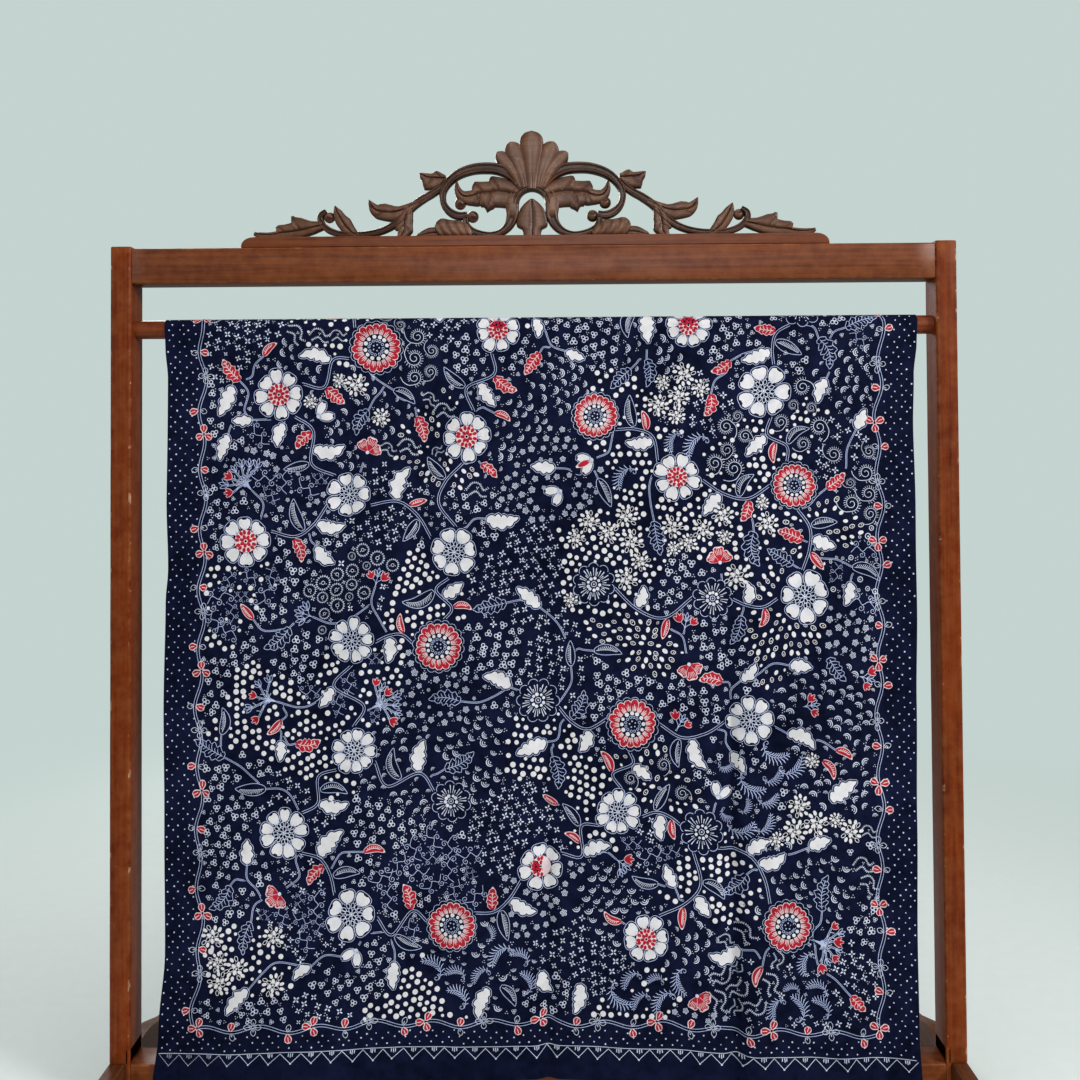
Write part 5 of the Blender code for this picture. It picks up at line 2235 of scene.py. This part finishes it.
    def _rounded_copy(self, solid: str, name: str, finish: bpy.types.Material, slot: str,
                      width: float) -> None:
        """Copies a solid, merges its flat faces and rounds its edges with fine bevels.

        Args:
            solid: the solid's name.
            name: the new piece's name.
            finish: its material.
            slot: the record's material slot that it belongs to.
            width: the bevels' width.
        """
        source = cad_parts[solid].data
        points = np.array([v.co for v in source.vertices])
        piece = make_piece(name, points, [tuple(p.vertices) for p in source.polygons], finish, slot, (solid,))
        shape = bmesh.new()
        shape.from_mesh(piece.data)
        bmesh.ops.remove_doubles(shape, verts=shape.verts, dist=0.00002)
        bmesh.ops.dissolve_limit(shape, angle_limit=math.radians(1), verts=shape.verts, edges=shape.edges)
        shape.to_mesh(piece.data)
        shape.free()
        bevel = piece.modifiers.new("rounded_edges", "BEVEL")
        bevel.width = width
        bevel.segments = 3
        bevel.limit_method = "ANGLE"
        bevel.angle_limit = math.radians(35)
        bevel.harden_normals = True
        face_outwards(piece)

    def bolts(self, finish: bpy.types.Material) -> None:
        """Builds the low domed bolt heads.

        Args:
            finish: their material.
        """
        out, share = (column[:, None] for column in np.array(self.bolt_profile).T)
        angle = TURN * np.arange(self.bolt_sides) / self.bolt_sides
        for name in ("top_bolt_left", "top_bolt_right", "foot_bolt_left"):
            low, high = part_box(name)
            root, tip = (high.x, low.x) if high.x < 0 else (low.x, high.x)
            radius = (high.z - low.z) / 2 * share
            rings = np.stack([
                root + (tip - root) * out + 0 * angle,
                (low.y + high.y) / 2 + radius * np.cos(angle),
                (low.z + high.z) / 2 + radius * np.sin(angle),
            ], -1)
            face_outwards(make_piece(f"dressed_{name}", *tube(rings, 1), finish, "bolt_steel", (name,)), 60)


# The carved crest

class Cut(Enum):
    """How the carver shaped a piece across its width."""

    CHANNEL = 1
    ROUND = 2
    VEINED = 3
    RIBBED = 4


@dataclass(frozen=True)
class Carving:
    """One carved piece: its rows, how it is cut, and its half thickness at its ridge and edge, in mm.

    A row holds X from the middle, the height, and the half width to the left and to the right. The last
    one is left out where both are the same.
    """

    rows: tuple
    cut: Cut
    ridge: float
    edge: float
    both_sides: bool = True


@dataclass(frozen=True)
class Ball:
    """The round eye of a scroll, in mm."""

    x: float
    height: float
    radius: float


RING_SCROLL = (
    (14, 66, 5.0), (22, 79, 7.0), (31, 88, 7.6), (46, 95, 7.6), (63, 97, 7.4), (83, 95.5, 7.0),
    (103, 88.5, 6.4), (117, 77, 5.5), (124.5, 64, 4.5), (125, 51, 4.4), (120, 40, 4.9), (111, 32.5, 5.4),
    (101, 29.5, 5.4), (91, 31, 4.4),
)
HEART_SCROLL = (
    (93, 29, 4.0), (93, 20, 4.4), (89, 12.5, 4.8), (81, 7, 4.5), (69, 3.6, 4.0), (57, 2.6, 3.9),
    (45, 5.6, 4.6), (36, 12, 5.8), (30, 21, 7.2), (27.5, 31, 8.6), (28, 42, 9.6), (27, 53, 9.4),
    (20, 66, 5.0),
)
LONG_ARM = (
    (120, 80, 4.2), (128, 70, 4.8), (139, 62, 5.0), (153, 54, 5.4), (168, 43, 5.6), (180, 30, 5.2),
    (194, 18, 4.8), (211, 9.5, 4.6), (231, 5, 4.4), (250, 4, 4.2), (265, 4.5, 4.2), (279, 8, 4.4),
    (290, 14, 4.6), (297, 23, 4.5), (296.5, 32, 4.1), (289, 38, 3.0),
)
SCROLL_BALLS = (Ball(83.5, 28.5, 8.6), Ball(101, 47, 8.6), Ball(285.5, 29, 8.0))
INNER_LEAF = (
    (19, 58, 12, 13), (33, 62, 17, 22), (45, 63.5, 20, 22), (55, 63.5, 22, 22), (58, 63, 15, 24),
    (65.5, 62.5, 15, 28.5), (70, 62, 15.5, 20), (76.4, 61, 17, 19), (79, 60, 11, 18), (82, 58.5, 7.5, 16),
    (91, 56.5, 8, 11), (99, 59, 7, 8), (104, 67, 4.5, 5), (105.5, 79, 0.8, 0.8),
)
SHELL_CURL = (
    (84, 3, 3), (90, 7, 7.5), (96, 10, 10.4), (104, 11.4, 11.4), (112, 11.8, 11.6), (119, 12.4, 12.2),
    (125, 13, 13), (129.5, 13.4, 12.2), (132.8, 13.6, 9.6), (135, 13.7, 6.4), (136.2, 13.7, 2.4),
)
SHELL_TAIL = (
    (124, 5, 5, 5), (134, 6, 8, 6), (144, 5.4, 8, 5), (152, 3.6, 6, 4), (159, 2, 3.4, 3),
    (163, 0.6, 0.8, 0.8),
)
RING_LEAF = (
    (121, 83, 4, 5), (130, 83, 9, 12), (135, 83.5, 10, 16), (141, 84, 5.5, 17), (147, 85, 5, 18.5),
    (150, 86, 4.5, 9), (154, 88, 3, 6), (157.5, 90, 0.8, 0.8),
)
BOAT_LEAF = (
    (160, 49, 4, 5), (172, 43, 5, 6), (185, 38, 6, 10), (196, 35.5, 10, 13), (207, 36, 12, 12),
    (216, 37.5, 10, 11), (221, 40, 8, 8), (225, 45, 5.5, 5), (229, 53, 0.8, 0.8),
)
HANGING_LEAF = (
    (172, 44, 4, 5), (175, 36, 8, 8), (178, 27, 12, 11), (179.5, 18, 13, 11.5), (180, 9, 13, 12.5),
    (181, 5.5, 11, 8), (183, 3, 6.5, 5.5), (184, -4, 6, 5.5),
)
CURLED_LEAF = (
    (243, 2, 3, 4), (252, 7, 7, 7), (260, 14, 10, 9), (265, 21, 11, 9.5), (269, 28, 8, 9.5), (273, 36, 6, 7),
    (277, 45, 0.8, 0.8),
)
OUTER_LEAF = (
    (294, 18, 5, 6), (308, 15, 9, 9), (320, 12, 17, 10), (330, 10, 20.5, 11), (334, 9.5, 23, 11),
    (336, 9, 13, 11), (346, 8, 11.5, 10), (356, 7, 11.5, 9), (358, 6, 4, 8), (370, 5, 3.5, 7),
    (382, 5.5, 3, 6.5), (390, 8, 1, 4),
)
MIDDLE_LOBE = (
    (0, 66, 6.5), (0, 85, 9), (0, 102, 11.8), (0, 118, 15), (0, 131, 16.4), (0, 137, 15.6), (0, 141.5, 13.2),
    (0, 144.6, 9.8), (0, 146.4, 6), (0, 147, 2.5),
)
NEAR_LOBE = (
    (9, 68, 5.2), (13, 86, 8.6), (17.8, 102, 11.2), (22.6, 114, 12.6), (25.6, 121, 12.6), (27.4, 125.4, 11.2),
    (28.8, 128.8, 8.4), (29.8, 131.2, 4.8), (30.2, 132.4, 1.6),
)
FAR_LOBE = (
    (15, 69, 5), (22, 87, 8.4), (30.4, 99.5, 10.2), (37.5, 107, 10.6), (42.4, 111.2, 9.8), (46, 114, 7.6),
    (48.6, 115.8, 4.6), (50.2, 116.6, 1.4),
)
BUD = (
    (0, -3, 12), (0, 6, 12.4), (0, 10.5, 14), (0, 13.5, 20.5), (0, 17, 21.8), (0, 24, 21), (0, 31, 19.4),
    (0, 39, 16.2), (0, 45.5, 11), (0, 50, 5.6), (0, 52.6, 1.6),
)
ARCH = tuple((-22 * math.cos(math.pi * k / 12), 46 + 22 * math.sin(math.pi * k / 12), 4.0) for k in range(13))
CARVINGS = (
    Carving(ARCH, Cut.CHANNEL, 10.2, 5.8, False),
    Carving(RING_SCROLL, Cut.CHANNEL, 9.0, 5.0),
    Carving(HEART_SCROLL, Cut.CHANNEL, 8.4, 4.6),
    Carving(LONG_ARM, Cut.CHANNEL, 7.8, 4.2),
    Carving(INNER_LEAF, Cut.VEINED, 8.2, 3.2),
    Carving(SHELL_CURL, Cut.RIBBED, 9.0, 3.6),
    Carving(SHELL_TAIL, Cut.VEINED, 5.6, 2.8),
    Carving(RING_LEAF, Cut.VEINED, 7.2, 2.6),
    Carving(BOAT_LEAF, Cut.VEINED, 7.2, 2.8),
    Carving(HANGING_LEAF, Cut.VEINED, 7.0, 2.6),
    Carving(CURLED_LEAF, Cut.VEINED, 7.0, 2.8),
    Carving(OUTER_LEAF, Cut.VEINED, 7.4, 2.9),
    Carving(NEAR_LOBE, Cut.ROUND, 9.6, 5.0),
    Carving(FAR_LOBE, Cut.ROUND, 8.7, 4.4),
    Carving(BUD, Cut.VEINED, 8.6, 4.0, False),
    Carving(MIDDLE_LOBE, Cut.ROUND, 11.0, 5.8, False),
)


@dataclass
class CarvedCrest:
    """The pierced board on the top rail: a shell between scrolls and leaves."""

    base: float = 1.1966
    step: float = 1.4
    strands: int = 19
    right_stretch: float = 1.015
    vein_reach: float = 11.0
    vein_width: float = 1.25
    vein_pitch: float = 4.6
    rib_pitch: float = 11.5
    ball_rows: int = 15
    ball_sides: int = 28

    def _line(self, rows: tuple) -> np.ndarray:
        """Reads a carving's rows as one smooth curve with a close step.

        Args:
            rows: the rows.

        Returns:
            The same four values for each step of the curve.
        """
        table = np.array([(*row, row[-1])[:4] for row in rows], float)
        spine = smooth(table[:, :2], 0.5)
        steps = np.concatenate([[0], np.cumsum(np.linalg.norm(np.diff(spine, axis=0), axis=1))])
        knots = np.array([steps[np.argmin(np.linalg.norm(spine - row[:2], axis=1))] for row in table])
        at = np.linspace(0, steps[-1], max(8, int(steps[-1] / self.step)))
        curve = [np.interp(at, steps, column) for column in spine.T]
        return np.stack(curve + [np.interp(at, knots, column) for column in table.T[2:]], 1)

    def _side_veins(self, line: np.ndarray, t: np.ndarray) -> np.ndarray:
        """Cuts veins forward from the midrib to each notch in a leaf's edge, with fine hatching between.

        Args:
            line: the leaf's centre line and half widths.
            t: place across it, from -1 to 1.

        Returns:
            How deep the cuts are, from 0 to 1, at each place along and across.
        """
        run = (np.arange(len(line)) * self.step)[:, None]
        aside = np.abs(t)[None, :]
        cut = 0.35 * np.clip(np.cos(TURN * (run + aside * self.vein_reach) / self.vein_pitch), 0, 1) ** 4
        for column, half in ((2, t > 0), (3, t <= 0)):
            drop = line[:-4, column] - line[4:, column]
            for k in range(1, len(drop) - 1):
                if drop[k] > 2.4 and drop[k] >= drop[k - 1] and drop[k] > drop[k + 1]:
                    where = (k + 2) * self.step - (1 - aside) * self.vein_reach
                    cut = np.maximum(cut, np.exp(-(((run - where) / self.vein_width) ** 2)) * half[None, :])
        return cut * np.clip(aside * 4, 0, 1)

    def _relief(self, cut: Cut, line: np.ndarray, t: np.ndarray) -> np.ndarray:
        """How high the carving stands, from 0 at its edge to 1 at its ridge.

        Args:
            cut: how it is shaped.
            line: its centre line and half widths.
            t: place across it, from -1 to 1.

        Returns:
            The height at each place along and across.
        """
        run = (np.arange(len(line)) * self.step)[:, None]
        side_veins = self._side_veins(line, t)
        t = t[None, :]
        dome = np.sqrt(np.clip(1 - t**2, 0, 1)) + 0 * run
        if cut is Cut.ROUND:
            flutes = np.clip(np.cos(TURN * 2.5 * t), 0, 1) ** 4
            fading = np.clip(1.2 - run / run[-1], 0, 1)
            return np.clip(dome**0.55 * 0.97 - 0.16 * flutes * fading * dome, 0, 1)
        if cut is Cut.RIBBED:
            ribs = np.abs(np.sin(math.pi * (run - 6.5 * t + 3.5 * t**2) / self.rib_pitch)) ** 0.5
            return np.clip(dome**0.55 * (0.62 + 0.38 * ribs), 0, 1)
        if cut is Cut.CHANNEL:
            bead = np.exp(-(((np.abs(t) - 0.70) / 0.20) ** 2))
            channel = np.clip(0.46 * dome + 0.66 * bead - 0.12, 0, 1)
            broad = np.clip((line[:, 2:3] - 7.8) / 1.4, 0, 1)
            return channel * (1 - broad) + 0.92 * dome**0.6 * broad
        leaf = 0.82 * dome**0.6 + 0.18 * np.abs(t) * dome
        midrib = 0.45 * np.exp(-((t / 0.08) ** 2))
        return np.clip(leaf - np.maximum(midrib, 0.42 * side_veins) * dome, 0, 1)

    def _place(self, x: np.ndarray, y: np.ndarray, z: np.ndarray) -> np.ndarray:
        """Seats points, given in mm over the crest's base, in the frame. None lies below the base."""
        return np.stack([x * MM, y * MM, self.base + np.maximum(z, 0.0) * MM], -1)

    def _solid(self, carving: Carving, side: int) -> tuple:
        """Builds one carved piece.

        Args:
            carving: the piece.
            side: 1 for the right half of the crest, -1 for the left.

        Returns:
            Its points, faces, and its relief height, which the material paints as wear on the ridges and
            painted shade in the hollows.
        """
        line = self._line(carving.rows)
        t = np.sin(np.linspace(-math.pi / 2, math.pi / 2, self.strands))
        left, right = np.maximum(0.5, line[:, 2:].T)[:, :, None]
        offset = t[None, :] * np.where(t[None, :] > 0, left, right)
        narrow = np.clip((left + right) / 6.0, 0, 1) * 0.45 + 0.55
        height = self._relief(carving.cut, line, t)
        thick = (carving.edge + (carving.ridge - carving.edge) * height) * narrow
        flat = line[:, None, :2] + sideways(line[:, :2])[:, None, :] * offset[:, :, None]
        x, z = side * (self.right_stretch if side > 0 else 1.0) * flat[:, :, 0], flat[:, :, 1]
        rings = np.concatenate([self._place(x, -thick, z), self._place(x, thick, z)[:, ::-1]], 1)
        # The relief height is each point's wear value: the crest's material paints the low places dark as
        # painted shade, with pooled varnish, and the ridges paler as rubbed wear.
        return *tube(rings), np.concatenate([height, height[:, ::-1]], 1).ravel()

    def _ball(self, ball: Ball, side: int) -> tuple:
        """Builds the eye of a scroll, with a shallow spiral cut into it.

        Args:
            ball: the eye.
            side: 1 for the right half of the crest, -1 for the left.

        Returns:
            Its points, faces, and how far each point stands out of the spiral cut, which the material paints as
            wear and painted shade.
        """
        polar = np.linspace(0.02, math.pi - 0.02, self.ball_rows)[:, None]
        around = (TURN * np.arange(self.ball_sides) / self.ball_sides)[None, :]
        groove = 0.5 + 0.5 * np.cos(around * side - 5.2 * np.abs(np.cos(polar)) + 0.6)
        radius = ball.radius * (0.93 + 0.07 * groove * np.sin(polar))
        x = side * (self.right_stretch if side > 0 else 1.0) * ball.x + radius * np.sin(polar) * np.cos(around)
        y = ball.radius * 0.98 * np.cos(polar) * (0.93 + 0.07 * groove)
        z = ball.height + radius * np.sin(polar) * np.sin(around)
        # The groove is each point's wear value, so the spiral cut gets painted shade.
        return *tube(self._place(x, y, z)), (0.35 + 0.6 * groove).ravel()

    def build(self, finish: bpy.types.Material) -> bpy.types.Object:
        """Builds the whole crest as one piece.

        Args:
            finish: the carved wood's material.

        Returns:
            The crest.
        """
        parts = []
        for carving in CARVINGS:
            parts += [self._solid(carving, side) for side in ((1, -1) if carving.both_sides else (1,))]
        parts += [self._ball(ball, side) for ball in SCROLL_BALLS for side in (1, -1)]
        points, faces, wear_and_shade = join_solids(parts)
        crest = make_piece("dressed_crest", points, faces, finish, "dark_wood", ("carved_crest",), wear_and_shade)
        face_outwards(crest, 50)
        return crest


# The studio

@dataclass(frozen=True)
class SoftLight:
    """A round soft light: where it hangs, where it points, how wide it is and how strong."""

    name: str
    place: tuple
    target: tuple
    size: float
    power: float

    def hang(self) -> None:
        """Puts the light in the scene."""
        data = bpy.data.lights.new(self.name, "AREA")
        data.shape = "DISK"
        data.size = self.size
        data.energy = self.power
        light = bpy.data.objects.new(self.name, data)
        light.location = self.place
        light.rotation_mode = "QUATERNION"
        light.rotation_quaternion = (Vector(self.target) - Vector(self.place)).to_track_quat("-Z", "Y")
        bpy.context.scene.collection.objects.link(light)


LIGHTS = (
    SoftLight("key", (2.7, -1.9, 2.3), (0.0, 0.0, 0.75), 1.0, 84.0),
    SoftLight("front", (0.2, -3.4, 1.9), (0.0, 0.0, 0.75), 1.2, 34.0),
    SoftLight("fill", (-2.6, -1.6, 1.6), (0.0, 0.0, 0.7), 1.6, 14.0),
    SoftLight("top", (0.3, -0.5, 3.2), (0.0, 0.0, 1.0), 1.6, 20.0),
    SoftLight("rear", (-1.2, 2.6, 2.2), (0.0, 0.0, 0.8), 1.6, 60.0),
)


@dataclass
class Studio:
    """A pale floor, soft lights and the camera where the photograph was taken."""

    camera_place: tuple = (0.0227, -1.5134, 0.9040)
    pitch: float = 1.143
    yaw: float = -0.504
    roll: float = -0.352
    lens: float = 36.03
    shift: float = -0.108
    floor_reach: float = 12.0
    floor_sides: int = 64
    floor_fades: float = 0.8
    floor_gone: float = 2.4
    floor_dark: tuple = (0.63, 0.67, 0.65)
    floor_pale: tuple = (0.65, 0.69, 0.67)
    glow: tuple = (0.62, 0.72, 0.70)
    glow_strength: float = 0.42
    seen: tuple = (0.60, 0.71, 0.68)
    seen_strength: float = 0.92

    def floor(self) -> None:
        """Lays a round pale floor, which fades into the backdrop away from the rack."""
        angle = TURN * np.arange(self.floor_sides) / self.floor_sides
        rim = self.floor_reach * np.stack([np.cos(angle), np.sin(angle), 0 * angle], 1)
        mesh = bpy.data.meshes.new("studio_floor")
        mesh.from_pydata(rim.tolist(), [], [tuple(range(self.floor_sides))])
        mesh.materials.append(self._floor_finish())
        floor = bpy.data.objects.new("studio_floor", mesh)
        bpy.context.scene.collection.objects.link(floor)
        floor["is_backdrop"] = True

    def _floor_finish(self) -> bpy.types.Material:
        """Makes the floor's material: nearly even near the rack, and the backdrop's own glow far from it.

        Returns:
            The material.
        """
        bench = NodeBench("pale_floor")
        speckle = bench.noise(40.0, 4.0, 0.5)
        bench.feed(Base_Color=bench.ramp(speckle, (0.3, self.floor_dark), (0.7, self.floor_pale)))
        bench.set(Roughness=0.7, Specular_IOR_Level=0.2)
        length = bench.add("ShaderNodeVectorMath", {0: bench.place()}, operation="LENGTH").outputs["Value"]
        inputs = {"From Min": self.floor_fades, "From Max": self.floor_gone, "Value": length}
        far = bench.add("ShaderNodeMapRange", inputs, interpolation_type="SMOOTHSTEP").outputs["Result"]
        backdrop = self._backdrop(bench.tree, "ShaderNodeEmission", 0.5)
        blend = bench.add("ShaderNodeMixShader", {0: far, 1: bench.shader.outputs[0], 2: backdrop})
        bench.tree.links.new(blend.outputs[0], bench.tree.nodes["Material Output"].inputs["Surface"])
        return bench.material

    def _backdrop(self, tree: bpy.types.NodeTree, kind: str, dimming: float) -> bpy.types.NodeSocket:
        """Builds the plain backdrop: bright to the camera, and dimmer as a source of light.

        Args:
            tree: the node tree to build in.
            kind: the type of the glowing node.
            dimming: share of the glow that lights the object.

        Returns:
            The shader socket.
        """
        choice = tree.nodes.new("ShaderNodeMixShader")
        tree.links.new(tree.nodes.new("ShaderNodeLightPath").outputs["Is Camera Ray"], choice.inputs[0])
        looks = ((self.glow, self.glow_strength * dimming), (self.seen, self.seen_strength))
        for socket, (color, strength) in enumerate(looks, 1):
            source = tree.nodes.new(kind)
            source.inputs["Color"].default_value = (*color, 1)
            source.inputs["Strength"].default_value = strength
            tree.links.new(source.outputs[0], choice.inputs[socket])
        return choice.outputs[0]

    def lights(self) -> None:
        """Hangs soft lights, the strongest at the right, and lets the pale surroundings glow."""
        world = bpy.data.worlds.new("studio")
        world.use_nodes = True
        shader = self._backdrop(world.node_tree, "ShaderNodeBackground", 1.0)
        world.node_tree.links.new(shader, world.node_tree.nodes["World Output"].inputs["Surface"])
        bpy.context.scene.world = world
        bpy.context.scene.view_settings.view_transform = "Standard"
        for light in LIGHTS:
            light.hang()

    def camera(self) -> None:
        """Sets the camera."""
        yaw, pitch, roll = (math.radians(a) for a in (self.yaw, self.pitch, self.roll))
        level_right = Vector((math.cos(yaw), -math.sin(yaw), 0))
        level_ahead = Vector((math.sin(yaw), math.cos(yaw), 0))
        ahead = math.cos(pitch) * level_ahead + math.sin(pitch) * Vector((0, 0, 1))
        upright = -math.sin(pitch) * level_ahead + math.cos(pitch) * Vector((0, 0, 1))
        right = math.cos(roll) * level_right + math.sin(roll) * upright
        up = -math.sin(roll) * level_right + math.cos(roll) * upright
        data = bpy.data.cameras.new("camera")
        data.sensor_width = 36.0
        data.lens = self.lens
        data.shift_y = self.shift
        data.clip_start = 0.01
        camera = bpy.data.objects.new("camera", data)
        bpy.context.scene.collection.objects.link(camera)
        axes = Matrix((right, up, -ahead)).transposed().to_4x4()
        camera.matrix_world = Matrix.Translation(self.camera_place) @ axes
        bpy.context.scene.camera = camera


def build_rack() -> None:
    """Builds the rack with its crest, each part in its own wood."""
    rack = Rack()
    rack.posts(VarnishedWood("post_wood", Grain.ALONG_Z).material())
    rail_wood = VarnishedWood(
        "rail_wood", Grain.ALONG_X, (0.170, 0.0400, 0.0095), (0.118, 0.0260, 0.0060), (0.055, 0.0120, 0.0034),
        chip=(0.310, 0.105, 0.032), roughness=0.34, gloss=0.20,
    ).material()
    rack.rails(rail_wood)
    rack.strip(rail_wood)
    rack.rod(VarnishedWood("rod_wood", Grain.ALONG_X, roughness=0.3, gloss=0.3).material())
    foot_wood = VarnishedWood("foot_wood", Grain.ALONG_Y, (0.110, 0.036, 0.014), (0.070, 0.021, 0.008))
    rack.feet(foot_wood.material())
    rack.bolts(BrownedSteel().material())
    CarvedCrest().build(CarvedWood("crest_wood").material())


def build_cloth() -> None:
    """Builds the cloth with its drawing."""
    navy = DyedCotton("navy_cotton", (0.0009, 0.0017, 0.0090), (0.0054, 0.0078, 0.0320))
    fine = DyedCotton("fine_wax", (0.42, 0.45, 0.60), (0.68, 0.71, 0.83))
    finishes = {
        Ink.CREAM: DyedCotton("cream_wax", (0.60, 0.58, 0.59), (0.76, 0.73, 0.76)).material(),
        Ink.FINE: fine.material(),
        Ink.MARKS: fine.material(),
        Ink.BLUE: DyedCotton("pale_blue_lines", (0.33, 0.39, 0.63), (0.55, 0.61, 0.86)).material(),
        Ink.RED: DyedCotton("red_dye", (0.29, 0.009, 0.022), (0.50, 0.018, 0.038)).material(),
        Ink.PINK: DyedCotton("rosy_wax", (0.62, 0.45, 0.48), (0.78, 0.68, 0.70)).material(),
        Ink.NAVY: navy.material(),
    }
    cloth = HangingCloth()
    sheet = cloth.build(navy.material())
    print_pieces = BatikPrint(cloth, Composition().draw()).build(finishes)


def main() -> None:
    """Builds the studio, the rack and the cloth, and reports each piece."""
    logging.basicConfig(level=logging.INFO, format="%(message)s")
    studio = Studio()
    studio.camera()
    studio.floor()
    studio.lights()
    build_rack()
    build_cloth()

    boxes = {"cad": CAD_BOX, "visual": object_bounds()}
    {name: [list(corner) for corner in box] for name, box in boxes.items()}


if __name__ == "__main__":
    main()
